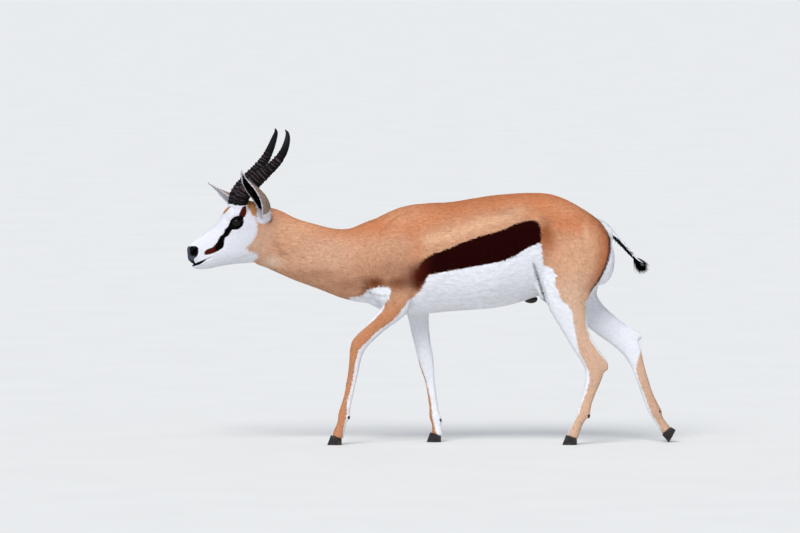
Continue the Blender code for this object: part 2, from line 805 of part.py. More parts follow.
def lock(root, ahead, outward, length, half_width, spread):
    """A flat, pointed lock of long hair that bends back towards the tail's line."""
    beside = np.cross(ahead, outward)
    angles = np.linspace(0, 2 * math.pi, 6, endpoint=False)
    rings = []
    spot = root - ahead * 0.2 * length
    for share in np.linspace(0, 1, 5):
        lean = math.radians(spread) * (1 - LOCK_CURL * share)
        way = ahead * math.cos(lean) + outward * math.sin(lean)
        flat = outward * math.cos(lean) - ahead * math.sin(lean)
        taper = (1 - share) ** 0.6 * min(1, 0.6 + 1.6 * share) + 0.05
        wide = np.outer(np.cos(angles), beside) * half_width * taper
        thick = np.outer(np.sin(angles), flat) * LOCK_THICKNESS * taper
        rings.append((spot + wide + thick) * MM)
        spot = spot + way * length * 0.3
    return tube(rings)


def fused(mesh, shapes):
    """The mesh and closed shapes that stand in it, as one body."""
    bundle = bpy.data.collections.new("bundle")
    for shape in shapes:
        extra = bpy.data.objects.new("extra", mesh_from(shape))
        extra.hide_render = True
        extra.display_type = "WIRE"
        bundle.objects.link(extra)
    bpy.context.scene.collection.children.link(bundle)

    def unite(holder):
        modifier = holder.modifiers.new("Locks", "BOOLEAN")
        modifier.operation = "UNION"
        modifier.solver = "EXACT"
        modifier.operand_type = "COLLECTION"
        modifier.collection = bundle

    result = evaluated(mesh, unite)
    for extra in list(bundle.objects):
        bpy.data.objects.remove(extra)
    bpy.data.collections.remove(bundle)
    return largest(result)


def tail_mesh():
    """The tail with its tuft of long hair."""
    rows = flow(TAIL, 3)
    centres = np.column_stack([rows[:, 0], np.zeros(len(rows)), rows[:, 1]])
    locks = []
    for share, turn, length, half_width, spread in TUFT:
        row = share * (len(rows) - 1)
        root = np.array([np.interp(row, range(len(rows)), centres[:, axis]) for axis in range(3)])
        ahead = unit(centres[-1] - centres[-5])
        up = np.array([-ahead[2], 0, ahead[0]])
        angle = math.radians(turn)
        outward = up * math.cos(angle) + np.array([0, 1, 0]) * math.sin(angle)
        locks.append(lock(root + outward * 2.5, ahead, outward, length, half_width, spread))
    core = mesh_from(tube(along_rings(centres, rows[:, 2], rows[:, 3], sides=12)))
    return fused(core, locks)


# Cut planes: point, then normal; and for each leg the block that it lies in
FORE_CUT = (Vector((-95, 40, 404)) * MM, (0.0, -0.72, 0.70))
HIND_CUT = (Vector((350, 12, 466)) * MM, (-0.32, -0.50, 0.80))
NECK_CUT = (Vector((-190, 0, 580)) * MM, (1.0, 0.0, -0.16))
HEAD_CUT_STRAIGHT = (Vector((-520, 0, 660)) * MM, Vector((1.0, 0.0, -0.13)))

# Feet, in mm: the sole's place, side and height, and the pitch of the toe in degrees
FEET = {
    "foreleg_left": (-300, -67, 0, 0),
    "foreleg_right": (13, 62, 0, 0),
    "hindleg_left": (440, -62, 0, 0),
    "hindleg_right": (764, 58, 22, 62),
}
CORONET = (Vector((0, 0, 25)) * MM, Vector((math.sin(0.35), 0, math.cos(0.35))))


def mirrored(plane, side):
    point, normal = plane
    return (
        Vector((point[0], side * point[1], point[2])),
        (normal[0], side * normal[1], normal[2]),
    )


def main():
    clear_scene()
    tan = material("tan_fur", FUR_TAN, 0.85)
    cinnamon = material("cinnamon_fur", FUR_CINNAMON, 0.85)
    white = material("white_fur", FUR_WHITE, 0.9)
    black_horn = material("black_horn", HORN_BLACK, 0.45)
    eye_gloss = material("dark_eye", EYE_BLACK, 0.08)

    body = thinned(body_mesh(), BODY_TRIANGLES)
    blocks = {
        "foreleg_left": (FORE_CUT, -0.34, 0.10, 0.040, -1),
        "foreleg_right": (FORE_CUT, -0.34, 0.10, 0.040, 1),
        "hindleg_left": (HIND_CUT, 0.322, 0.9, 0.004, -1),
        "hindleg_right": (HIND_CUT, 0.322, 0.9, 0.004, 1),
    }
    trunk = body
    for name, (plane, front, back, inner, side) in blocks.items():
        point, normal = mirrored(plane, side)
        block = corner_block(point, normal, front, back, inner, side)
        wide = corner_block(point, normal, front, back, inner, side, GAP)
        leg = carved(body.copy(), block, "INTERSECT")
        trunk = carved(trunk, wide)
        x, y, z, pitch = FEET[name]
        stance = Matrix.Translation(Vector((x, y, z)) * MM) @ Matrix.Rotation(-math.radians(pitch), 4, "Y")
        coronet = stance @ CORONET[0]
        slope = stance.to_3x3() @ CORONET[1]
        piece(name, sliced(leg, coronet, slope, True), tan)
        for half, word in ((-1, "outer" if side < 0 else "inner"), (1, "inner" if side < 0 else "outer")):
            hoof = claw(half)
            hoof.transform(stance)
            hoof = sliced(hoof, coronet, slope, False)
            if pitch:
                hoof = sliced(hoof, (0, 0, 0), (0, 0, 1), True, 0)
            piece(f"hoof_{name}_{word}", hoof, black_horn)

    neck_point, neck_normal = NECK_CUT
    torso = sliced(trunk, neck_point, neck_normal, True)
    fore = sliced(trunk, neck_point, neck_normal, False)
    turn = Matrix.Rotation(HEAD_YAW, 3, "Z")
    head_point = headed(np.array(HEAD_CUT_STRAIGHT[0]))
    head_normal = turn @ HEAD_CUT_STRAIGHT[1]
    neck_piece = sliced(fore, head_point, head_normal, True)
    head = sliced(head_mesh(), head_point, head_normal, False)
    head = thinned(head, HEAD_TRIANGLES)
    piece("torso", torso, cinnamon)
    piece("neck", neck_piece, tan)

    for side, word in ((-1, "left"), (1, "right")):
        head = carved(head, eyeball(side, GAP))
        piece(f"eye_{word}", eyeball(side), eye_gloss)
    piece("head", head, white)

    ears = (
        (-1, "left", EAR_ROOT_LEFT, EAR_REACH_LEFT, EAR_OPENING_LEFT, EAR_SWEEP_LEFT, EAR_TWIST_LEFT),
        (1, "right", EAR_ROOT_RIGHT, EAR_REACH_RIGHT, EAR_OPENING_RIGHT, EAR_SWEEP_RIGHT, EAR_TWIST_RIGHT),
    )
    for side, word, *form in ears:
        horn_mesh = clear_of(mesh_from(horn(side)), [head])
        piece(f"horn_{word}", horn_mesh, black_horn)
        cup = clear_of(mesh_from(ear(side, *form)), [head, horn_mesh, neck_piece])
        piece(f"ear_{word}", cup, tan)
    piece("tail", clear_of(tail_mesh(), [torso]), white)
    piece("sheath", clear_of(mesh_from(swelling(*SHEATH)), [torso]), black_horn)


if __name__ == "__main__":
    main()
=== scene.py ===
import math

import bmesh
import bpy
import numpy as np
from mathutils import Matrix, Vector
from mathutils.bvhtree import BVHTree


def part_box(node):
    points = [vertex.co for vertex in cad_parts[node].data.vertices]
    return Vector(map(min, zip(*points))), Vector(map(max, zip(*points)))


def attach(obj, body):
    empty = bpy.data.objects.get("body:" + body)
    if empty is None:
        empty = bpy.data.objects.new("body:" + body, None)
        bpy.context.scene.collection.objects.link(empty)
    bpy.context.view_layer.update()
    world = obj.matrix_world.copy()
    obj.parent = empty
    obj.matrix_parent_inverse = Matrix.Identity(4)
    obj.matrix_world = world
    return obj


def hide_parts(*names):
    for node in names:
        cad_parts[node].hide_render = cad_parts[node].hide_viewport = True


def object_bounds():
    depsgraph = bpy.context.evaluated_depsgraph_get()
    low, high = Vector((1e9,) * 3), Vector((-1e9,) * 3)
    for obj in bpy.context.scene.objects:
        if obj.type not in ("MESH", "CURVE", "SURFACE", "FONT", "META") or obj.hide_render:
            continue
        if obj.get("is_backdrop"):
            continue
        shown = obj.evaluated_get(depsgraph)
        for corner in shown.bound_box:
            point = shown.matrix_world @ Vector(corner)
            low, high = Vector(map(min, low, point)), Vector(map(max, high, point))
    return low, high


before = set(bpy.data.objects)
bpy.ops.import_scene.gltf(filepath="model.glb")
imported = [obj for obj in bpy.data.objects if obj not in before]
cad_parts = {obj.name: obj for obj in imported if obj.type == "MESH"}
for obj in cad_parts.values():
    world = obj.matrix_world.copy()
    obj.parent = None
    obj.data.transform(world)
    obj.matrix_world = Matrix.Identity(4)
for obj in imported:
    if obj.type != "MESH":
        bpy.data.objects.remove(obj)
cad_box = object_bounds()

# Floor, light and camera
# The ram stands on a plain pale floor. A long lens at the height of its chest looks at its
# left side, a little from above, as a photographer far off in a car would.
MM = 0.001
FLOOR_RADIUS = 150.0
FLOOR_PAINT = (226, 225, 220)
LENS_DISTANCE = 30.0
LENS_RISE = math.radians(3)
FRAME_WIDTH = 2.52
SENSOR = 36.0
AIM = Vector((-0.1017, 0.011, 0.5583))
SUN_HEIGHT = math.radians(47)
SUN_SIDE = math.radians(-17)
SUN_SOFTNESS = math.radians(32)
SUN_POWER = 2.35
SKY_PAINT = (206, 212, 224)
SKY_POWER = 0.90


def paint(red, green, blue):
    """A colour as a screen shows it, from 0 to 255, turned into the light it stands for."""
    parts = np.array([red, green, blue]) / 255
    light = np.where(parts <= 0.04045, parts / 12.92, ((parts + 0.055) / 1.055) ** 2.4)
    return (*light.tolist(), 1.0)


class Wire:
    """One output in a material. Sums and products of wires add the Math nodes for them."""

    def __init__(self, tree, socket=None):
        self.tree = tree
        self.socket = socket

    def node(self, kind, settings, inputs, output=0):
        """Adds a node: first its settings, then its inputs as numbers or wires."""
        made = self.tree.nodes.new("ShaderNode" + kind)
        for name, value in settings.items():
            setattr(made, name, value)
        for name, value in inputs.items():
            if isinstance(value, Wire):
                self.tree.links.new(value.socket, made.inputs[name])
            else:
                made.inputs[name].default_value = value
        return Wire(self.tree, made.outputs[output])

    def math(self, operation, *values):
        return self.node("Math", {"operation": operation}, dict(enumerate(values)))

    def __add__(self, other):
        return self.math("ADD", self, other)

    def __sub__(self, other):
        return self.math("SUBTRACT", self, other)

    def __rsub__(self, other):
        return self.math("SUBTRACT", other, self)

    def __mul__(self, other):
        return self.math("MULTIPLY", self, other)

    def __truediv__(self, other):
        return self.math("DIVIDE", self, other)

    def __pow__(self, other):
        return self.math("POWER", self, other)

    __radd__ = __add__
    __rmul__ = __mul__

    def between(self, low, high):
        """0 below low, 1 above high, and a soft rise from one to the other."""
        ends = {0: self, 1: low, 2: high}
        return self.node("MapRange", {"interpolation_type": "SMOOTHSTEP"}, ends)

    def over(self, below, colour):
        """The colour laid over what is below it, where this wire is 1."""
        layers = {0: self, 6: below, 7: colour}
        return self.node("Mix", {"data_type": "RGBA"}, layers, 2)

    def times(self, colour):
        """A colour made darker or lighter by this wire."""
        scale = self.node("CombineXYZ", {}, {0: self, 1: self, 2: self})
        base = colour if isinstance(colour, Wire) else colour[:3]
        return self.node("VectorMath", {"operation": "MULTIPLY"}, {0: base, 1: scale})

    def field(self, name):
        """A value that the piece's points carry."""
        return self.node("Attribute", {"attribute_name": name}, {}, 2)

    def place(self):
        return self.node("TexCoord", {}, {}, "Object")

    def noise(self, where, scale, detail=2.0, stretch=(1, 1, 1)):
        """Cloudy noise, drawn out where a part of the stretch is under 1."""
        drawn = self.node("Mapping", {}, {"Vector": where, "Scale": stretch})
        return self.node("TexNoise", {}, {"Vector": drawn, "Scale": scale, "Detail": detail})

    def bump(self, height, distance, strength=1.0):
        sizes = {"Height": height, "Distance": distance, "Strength": strength}
        return self.node("Bump", {}, sizes)


def finish(name, dress, **constants):
    """A material: dress gives what varies, and the constants are set on its sockets."""
    made = bpy.data.materials.new(name)
    made.use_nodes = True
    tree = made.node_tree
    shader = tree.nodes["Principled BSDF"]
    for socket, value in constants.items():
        shader.inputs[socket.replace("_", " ")].default_value = value
    for socket, wire in dress(Wire(tree)).items():
        tree.links.new(wire.socket, shader.inputs[socket])
    return made


def place_in_scene(name, data):
    """A mesh, a lens or a light as an object of the scene."""
    obj = bpy.data.objects.new(name, data)
    bpy.context.scene.collection.objects.link(obj)
    return obj


def add_piece(name, mesh, material):
    """A mesh as an object of the scene, smooth and with one material."""
    obj = place_in_scene(name, mesh)
    mesh.name = name
    mesh.materials.clear()
    mesh.materials.append(material)
    mesh.shade_smooth()
    return obj


def mesh_of(shape):
    """The mesh of a bmesh, which is then freed."""
    mesh = bpy.data.meshes.new("form")
    shape.to_mesh(mesh)
    shape.free()
    return mesh


def floor_dress(wire):
    grain = wire.noise(wire.place(), 3.0, 4.0)
    tone = grain.between(0.2, 0.8) * 0.03 + 0.97
    return {"Base Color": tone.times(paint(*FLOOR_PAINT))}


floor_shape = bmesh.new()
bmesh.ops.create_circle(floor_shape, cap_ends=True, segments=96, radius=FLOOR_RADIUS)
floor = add_piece("floor", mesh_of(floor_shape), finish("floor_paint", floor_dress, Roughness=0.85))
floor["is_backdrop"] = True

scene = bpy.context.scene
lens = bpy.data.cameras.new("camera")
lens.sensor_width = SENSOR
lens.lens = SENSOR * LENS_DISTANCE / FRAME_WIDTH
lens.clip_start = 1.0
lens.clip_end = 3 * FLOOR_RADIUS
camera = place_in_scene("camera", lens)
away = Vector((0, -math.cos(LENS_RISE), math.sin(LENS_RISE)))
camera.location = AIM + away * LENS_DISTANCE
camera.rotation_euler = away.to_track_quat("Z", "Y").to_euler()
scene.camera = camera

sun = bpy.data.lights.new("sun", "SUN")
sun.energy = SUN_POWER
sun.angle = SUN_SOFTNESS
sun_place = place_in_scene("sun", sun)
level = Vector((math.sin(SUN_SIDE), -math.cos(SUN_SIDE), 0))
sunward = level * math.cos(SUN_HEIGHT) + Vector((0, 0, math.sin(SUN_HEIGHT)))
sun_place.rotation_euler = sunward.to_track_quat("Z", "Y").to_euler()
sky = bpy.data.worlds.new("sky")
sky.use_nodes = True
sky.node_tree.nodes["Background"].inputs["Color"].default_value = paint(*SKY_PAINT)
sky.node_tree.nodes["Background"].inputs["Strength"].default_value = SKY_POWER
scene.world = sky
scene.view_settings.view_transform = "Standard"

# Hide: the form
# One sheet of skin over neck, trunk, legs, head and ears. The solids of flesh are swelled
# until they meet, melted under one skin, smoothed, and drawn in by the depth of the coat.
FLESH = {  # the solids of flesh, and by how many mm each is swelled
    "head": 0.6,
    "neck": 0.6,
    "torso": 0.6,
    "foreleg_left": 0.6,
    "foreleg_right": 0.6,
    "hindleg_left": 0.6,
    "hindleg_right": 0.6,
    "ear_left": 1.2,
    "ear_right": 1.2,
}
FINE = ["head", "ear_left", "ear_right"]
SAME_SPOT = 0.01 * MM
BODY_GRAIN = 4 * MM
BODY_ROUNDS = 26
SKIN_GRAIN = 1.8 * MM
SKIN_ROUNDS = 6
SKIN_TRIANGLES = 186000
RELAX_STEPS = (0.5, -0.52)
SIDES = ((-1, "left"), (1, "right"))
MIDDLE = sum(corner.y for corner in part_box("torso")) / 2
HEAD_YAW = math.radians(18)
HEAD_TURN = np.array(Matrix.Rotation(HEAD_YAW, 3, "Z"))
PIVOT = -517 * MM
BEND_START = -434 * MM
BEND_END = -549 * MM
TAIL_LINE = [  # place, height, half depth, half width, in mm
    (520, 700, 12, 15),
    (544, 687, 11, 13),
    (568, 661, 8.5, 9),
    (600, 629, 7, 7),
    (630, 596, 6, 6),
    (650, 571, 4, 4),
]
HORN_ROOT = [(-616, 722, 25), (-616, 743, 26), (-616, 756, 27)]  # place, height, out, in mm
HORN_ROOT_RADIUS = 26.8
HORN_OVAL = 0.9


def read(items, name, width, kind=float):
    """One property of all points, edges or triangles of a mesh, with a row for each."""
    found = np.empty(len(items) * width, kind)
    items.foreach_get(name, found)
    return found.reshape(-1, width)


def points_of(mesh):
    return read(mesh.vertices, "co", 3)


def normals_of(mesh):
    return read(mesh.vertices, "normal", 3, np.float32).astype(float)


def place_points(mesh, points):
    mesh.vertices.foreach_set("co", np.ascontiguousarray(points).ravel())
    mesh.update()


def unit(vectors):
    return vectors / np.maximum(np.linalg.norm(vectors, axis=-1, keepdims=True), 1e-12)


def rise(value, low, high):
    """0 at low, 1 at high, with a soft start and end; low may be the greater."""
    share = np.clip((value - low) / (high - low), 0, 1)
    return share * share * (3 - 2 * share)


def straightened(points):
    """Points as they would lie if the ram looked straight ahead."""
    along = points[:, 0].copy()
    for _ in range(4):
        angle = HEAD_YAW * rise(along, BEND_START, BEND_END)
        x = points[:, 0] - PIVOT
        y = points[:, 1] - MIDDLE
        along = PIVOT + x * np.cos(angle) + y * np.sin(angle)
    return np.column_stack([along, y * np.cos(angle) - x * np.sin(angle), points[:, 2]])


def with_head(place, height, out):
    """Points of the straight head, out from its middle plane, turned with the head."""
    x = place - PIVOT
    cosine, sine = math.cos(HEAD_YAW), math.sin(HEAD_YAW)
    turned = [PIVOT + x * cosine - out * sine, MIDDLE + x * sine + out * cosine, height]
    return np.column_stack(turned)


def sleeve(rings):
    """A closed tube drawn out from a disc through rings of points."""
    shape = bmesh.new()
    rim = bmesh.ops.create_circle(shape, cap_ends=True, segments=len(rings[0]))["verts"]
    for vertex, point in zip(rim, rings[0]):
        vertex.co = point
    for ring in rings[1:]:
        loop = [shape.edges.get((rim[i - 1], rim[i])) for i in range(len(rim))]
        made = bmesh.ops.extrude_edge_only(shape, edges=loop)["geom"]
        fresh = {item for item in made if isinstance(item, bmesh.types.BMVert)}
        around = [[edge.other_vert(vertex) for edge in vertex.link_edges] for vertex in rim]
        rim = [next(end for end in ends if end in fresh) for ends in around]
        for vertex, point in zip(rim, ring):
            vertex.co = point
    bmesh.ops.contextual_create(shape, geom=rim)
    bmesh.ops.recalc_face_normals(shape, faces=shape.faces)
    return shape


def hoops(line, depths, widths, across, sides):
    """Oval rings square to a line; across is the direction of their widths."""
    ahead = unit(np.gradient(line, axis=0))
    angles = np.linspace(0, 2 * math.pi, sides, endpoint=False)
    rings = []
    for centre, way, depth, width in zip(line, ahead, depths, widths):
        side = unit(across - way * (across @ way))
        deep = np.cross(way, side)
        rings.append(
            centre + np.outer(np.cos(angles) * depth, deep) + np.outer(np.sin(angles) * width, side)
        )
    return rings


def flow(stations, steps):
    """Rows on a smooth curve through the stations, with `steps` rows to each span."""
    rows = np.array(stations, float)
    ends = np.vstack([2 * rows[0] - rows[1], rows, 2 * rows[-1] - rows[-2]])
    t = np.linspace(0, 1, steps, endpoint=False)[:, None]
    spans = []
    for a, b, c, d in zip(ends, ends[1:], ends[2:], ends[3:]):
        bent = 2 * a - 5 * b + 4 * c - d + t * (3 * (b - c) + d - a)
        spans.append(b + 0.5 * t * (c - a + t * bent))
    return np.vstack(spans + [rows[-1:]])


def adjusted(mesh, kind, group=(), **settings):
    """The mesh after one modifier, which may be held to a group of its points."""
    holder = place_in_scene("holder", mesh)
    if group:
        holder.vertex_groups.new(name="group").add(group, 1.0, "REPLACE")
    modifier = holder.modifiers.new("change", kind)
    for name, value in settings.items():
        setattr(modifier, name, value)
    bpy.context.view_layer.update()
    graph = bpy.context.evaluated_depsgraph_get()
    result = bpy.data.meshes.new_from_object(holder.evaluated_get(graph))
    bpy.data.objects.remove(holder)
    return result


def relax(mesh, rounds):
    """Smooths the skin without shrinking it."""
    a, b = read(mesh.edges, "vertices", 2, np.int32).T
    points = points_of(mesh)
    count = np.bincount(a, minlength=len(points)) + np.bincount(b, minlength=len(points))
    for _ in range(rounds):
        for strength in RELAX_STEPS:
            mean = np.empty_like(points)
            for axis in range(3):
                total = np.bincount(a, points[b, axis], len(points))
                total += np.bincount(b, points[a, axis], len(points))
                mean[:, axis] = total / count
            points += strength * (mean - points)
    place_points(mesh, points)


def melted(swells, others, grain, rounds):
    """Solids, each swelled by so many mm, and other forms under one smooth skin."""
    whole = bmesh.new()
    for name, swell in swells.items():
        part = bmesh.new()
        part.from_mesh(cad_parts[name].data)
        bmesh.ops.remove_doubles(part, verts=part.verts, dist=SAME_SPOT)
        part.normal_update()
        for vertex in part.verts:
            vertex.co += vertex.normal * swell * MM
        whole.from_mesh(mesh_of(part))
    for mesh in others:
        whole.from_mesh(mesh)
    melt = adjusted(mesh_of(whole), "REMESH", mode="VOXEL", voxel_size=grain)
    relax(melt, rounds)
    return melt


def horn_root(side):
    """The skin that rises round the foot of a horn."""
    place, height, out = np.array(HORN_ROOT, float).T * MM
    line = with_head(place, height, side * out)
    radii = np.full(len(line), HORN_ROOT_RADIUS * MM)
    return mesh_of(sleeve(hoops(line, radii, HORN_OVAL * radii, np.array([0.0, 1, 0]), 24)))


tail_rows = flow(TAIL_LINE, 4) * MM
tail_points = np.column_stack([tail_rows[:, 0], np.full(len(tail_rows), MIDDLE), tail_rows[:, 1]])
tail_hoops = hoops(tail_points, tail_rows[:, 2], tail_rows[:, 3], np.array([0.0, 1, 0]), 16)
tail_core = mesh_of(sleeve(tail_hoops))
coarse_flesh = {name: swell for name, swell in FLESH.items() if name not in FINE}
fine_flesh = {name: FLESH[name] for name in FINE}
body = melted(coarse_flesh, [], BODY_GRAIN, BODY_ROUNDS)
roots = [horn_root(side) for side, _ in SIDES]
skin = melted(fine_flesh, [body, tail_core, *roots], SKIN_GRAIN, SKIN_ROUNDS)

# Hide: lids, lips and folds
# The skin is tight on a springbok. It is thick at the lids and lips, it turns in at the
# nostrils and at the scent slit before each eye, and it folds where leg and trunk meet.
TRUNK_DEPTH = 2.0 * MM
FACE_DEPTH = 0.9 * MM
LEG_DEPTH = 1.1 * MM
TAIL_DEPTH = 0.2 * MM
EAR_SHRINK = 1.1 * MM
EAR_FAR = 20.0
HEAD_START = (-520, -560)  # the places over which neck becomes head and rump becomes tail
TAIL_START = (548, 572)
LEG_START = (440, 400)  # the heights over which trunk becomes leg
EAR_START = (3, 1.6)  # the distances from an ear's solid over which head becomes ear
CREASE_OUT = 25
POLL = (-584, 758)
POLL_RISE = 6
EYE_RADIUS = 18.2 * MM
EYE_OUTLOOK = (-0.30, 0.94, 0.12)
EYE_TILT = math.radians(-30)
LID_OPENING = (37.0, 14.8)
LID_THICKNESS = 1.9
LID_FOLDS = [(0.9, 1.62, 0.10), (0.6, 1.95, 0.12)]  # depth, reach and half width
LID_END = (2.3, 1.25)  # the reach over which the lids fade out, and the same in mm
LID_FAR = (37, 25)
SOCKET_DEPTH = 3.0
SCENT_SLIT = [(-655, 681), (-664, 672), (-669, 665)]
MOUTH = [(-780, 577), (-764, 568), (-746, 575), (-729, 584), (-712, 590)]
NOSTRIL = [(-771, 603), (-768, 609), (-763, 614), (-757, 615)]
FACE_DENTS = [  # line, depth, distance from it, half width, least out, and where it sets in
    (MOUTH, 2.4, 0, 1.9, -1, (-778, -760)),
    (MOUTH, -1.0, 5.5, 3.2, -1, (-900, -800)),
    (NOSTRIL, 6.0, 0, 2.6, 6, (-900, -800)),
    (NOSTRIL, -1.4, 6, 2.4, 6, (-900, -800)),
    (SCENT_SLIT, 2.6, 0, 2.2, -1, (-900, -800)),
    (SCENT_SLIT, -0.9, 6, 3, -1, (-900, -800)),
]
CREASES = [  # line on the side of the body, half width and depth, in mm
    ([(318, 572), (338, 504), (362, 430)], 6, 9),
    ([(-48, 705), (-40, 640), (-46, 560), (-64, 490)], 14, 4.2),
    ([(-205, 490), (-150, 502), (-60, 500)], 16, 3.2),
    ([(-135, 700), (-175, 640), (-205, 560)], 16, 3.0),
    ([(-110, 690), (-105, 620), (-120, 560)], 12, 1.8),
    ([(-150, 640), (-120, 600), (-60, 590)], 14, 1.8),
    ([(30, 700), (20, 640), (10, 600)], 8, 0.9),
    ([(62, 706), (52, 640), (44, 606)], 8, 0.9),
    ([(94, 712), (84, 650), (76, 610)], 8, 0.9),
    ([(126, 718), (116, 660), (108, 620)], 8, 0.8),
    ([(-486, 612), (-470, 598), (-452, 592)], 4, 1.6),
    ([(-494, 596), (-476, 585), (-458, 580)], 4, 1.3),
    ([(-604, 618), (-582, 628), (-566, 652), (-560, 690)], 9, 1.4),
    ([(-562, 628), (-548, 622), (-550, 608), (-564, 606)], 3.5, 1.3),
    ([(380, 730), (430, 660), (440, 560)], 20, 3.2),
    ([(470, 700), (486, 640), (482, 560), (470, 500)], 13, 2.6),
    ([(345, 640), (372, 560), (400, 500)], 16, 2.2),
]


def bell(*spans):
    """1 at the middle and soft to all sides; a span is a distance and its half width."""
    return np.exp(-sum((distance / width) ** 2 for distance, width in spans))


def from_line(line, x, z):
    """Distance of each point from a line in the side view, and how far along it, 0 to 1."""
    corners = np.array(line, float)
    lengths = np.linalg.norm(np.diff(corners, axis=0), axis=1)
    before = np.concatenate([[0], np.cumsum(lengths)]) / lengths.sum()
    nearest = np.full(len(x), 1e9)
    share = np.zeros(len(x))
    for i, (start, end) in enumerate(zip(corners, corners[1:])):
        run = end - start
        t = np.clip(((x - start[0]) * run[0] + (z - start[1]) * run[1]) / (run @ run), 0, 1)
        gap = np.hypot(x - start[0] - t * run[0], z - start[1] - t * run[1])
        closer = gap < nearest
        nearest = np.where(closer, gap, nearest)
        share = np.where(closer, before[i] + t * (before[i + 1] - before[i]), share)
    return nearest, share


def eye_frame(side):
    """The eye's centre, outlook, long axis and upward axis."""
    name = "left" if side < 0 else "right"
    centre = np.array(sum(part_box(f"eye_{name}"), Vector()) / 2)
    outlook = unit(HEAD_TURN @ np.array([EYE_OUTLOOK[0], side * EYE_OUTLOOK[1], EYE_OUTLOOK[2]]))
    along = HEAD_TURN @ np.array([math.cos(EYE_TILT), 0, -math.sin(EYE_TILT)])
    along = unit(along - outlook * (along @ outlook))
    return centre, outlook, along, np.cross(along, outlook) * side


def lid_reach(points, side):
    """How far points lie from the middle of the eye's opening, where its rim is at 1."""
    centre, outlook, along, upward = eye_frame(side)
    ray = unit(points - centre)
    ahead = np.maximum(ray @ outlook, 0.05) * MM / EYE_RADIUS
    across, height = ray @ along / ahead, ray @ upward / ahead
    taper = 1 - 0.22 * np.clip(-across / LID_OPENING[0], 0, 1) ** 2
    reach = np.hypot(across / LID_OPENING[0], height / (LID_OPENING[1] * taper))
    beside_eye = np.linalg.norm(points - centre, axis=1) < 2.2 * EYE_RADIUS
    return np.where((ray @ outlook > 0) & beside_eye, reach, 9.0)


def ear_gap(points, side):
    """How far points lie from an ear's solid, in mm, up to a limit."""
    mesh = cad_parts[f"ear_{side}"].data
    tree = BVHTree.FromPolygons([v.co for v in mesh.vertices], [p.vertices for p in mesh.polygons])
    low, high = (np.array(corner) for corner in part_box(f"ear_{side}"))
    gaps = np.full(len(points), EAR_FAR)
    for i in np.nonzero(np.all((points > low - 6 * MM) & (points < high + 6 * MM), axis=1))[0]:
        gaps[i] = min(EAR_FAR, tree.find_nearest(points[i])[3] / MM)
    return gaps


points = points_of(skin)
normals = normals_of(skin)
in_line = straightened(points) / MM
side_x, side_z, out = in_line[:, 0], in_line[:, 2], np.abs(in_line[:, 1])
on_head = rise(side_x, *HEAD_START)
on_leg = rise(side_z, *LEG_START)
near_ear = rise(np.minimum(ear_gap(points, "left"), ear_gap(points, "right")), *EAR_START)
depth = TRUNK_DEPTH + (LEG_DEPTH - TRUNK_DEPTH) * on_leg + (FACE_DEPTH - TRUNK_DEPTH) * on_head
depth -= (TRUNK_DEPTH - TAIL_DEPTH) * rise(side_x, *TAIL_START) * rise(side_z, 545, 560) * (out < 18)
shrink = (depth + FLESH["torso"] * MM) * (1 - near_ear) + EAR_SHRINK * near_ear
dent = np.zeros(len(points))
for line, width, deep in CREASES:
    gap, share = from_line(line, side_x, side_z)
    dent += deep * bell((gap, width)) * np.sin(np.pi * np.clip(share, 0.06, 0.94)) ** 0.6
dent *= (out > CREASE_OUT) * (1 - near_ear)
for line, deep, distance, width, least_out, start in FACE_DENTS:
    gap, _ = from_line(line, side_x, side_z)
    where = on_head * (side_x < -600) * (out > least_out) * rise(side_x, *start)
    dent += where * deep * bell((gap - distance, width))
nose_groove = on_head * 1.6 * (out < 5) * rise(side_x, -772, -778) * rise(side_z, 572, 580)
behind_horn = bell((side_x - POLL[0], 15), (side_z - POLL[1], 16))
dent += nose_groove
dent -= POLL_RISE * behind_horn * (1 - near_ear) * on_head
points -= (shrink + dent * MM)[:, None] * normals
for side, _ in SIDES:
    centre, *_ = eye_frame(side)
    reach = lid_reach(points, side)
    ray = points - centre
    away_from = np.linalg.norm(ray, axis=1)
    close = (away_from < 40 * MM) & (reach < 3.2)
    ball = EYE_RADIUS / MM
    lid = ball + LID_THICKNESS * (1 + 0.25 * np.sin(2.2 * reach))
    folds = -sum(deep * bell((reach - place, width)) for deep, place, width in LID_FOLDS)
    held = rise(reach, *LID_END) * rise(away_from / MM, *LID_FAR)
    shown = held * lid + (1 - held) * away_from / MM + folds * held
    kept = np.where(reach < 1, ball - SOCKET_DEPTH, shown)
    target = np.where(close, kept * MM, away_from)
    points = centre + ray * (target / away_from)[:, None]
place_points(skin, points)
relax(skin, 1)
plain = (1 - np.maximum(on_head, near_ear)) > 0.5
skin = adjusted(
    skin,
    "DECIMATE",
    np.nonzero(plain)[0].tolist(),
    ratio=SKIN_TRIANGLES / (2 * len(skin.polygons)),
    use_collapse_triangulate=True,
    vertex_group="group",
    vertex_group_factor=1.0,
)

# The hide borrows a material until its own is made from its colours.
hide = add_piece("hide", skin, floor.data.materials[0])
bpy.context.view_layer.objects.active = hide
hide.select_set(True)
skin.uv_layers.new(name="OFBake")
bpy.ops.object.mode_set(mode="EDIT")
bpy.ops.mesh.select_all(action="SELECT")
bpy.ops.uv.smart_project(angle_limit=math.radians(66), island_margin=0.002)
bpy.ops.object.mode_set(mode="OBJECT")

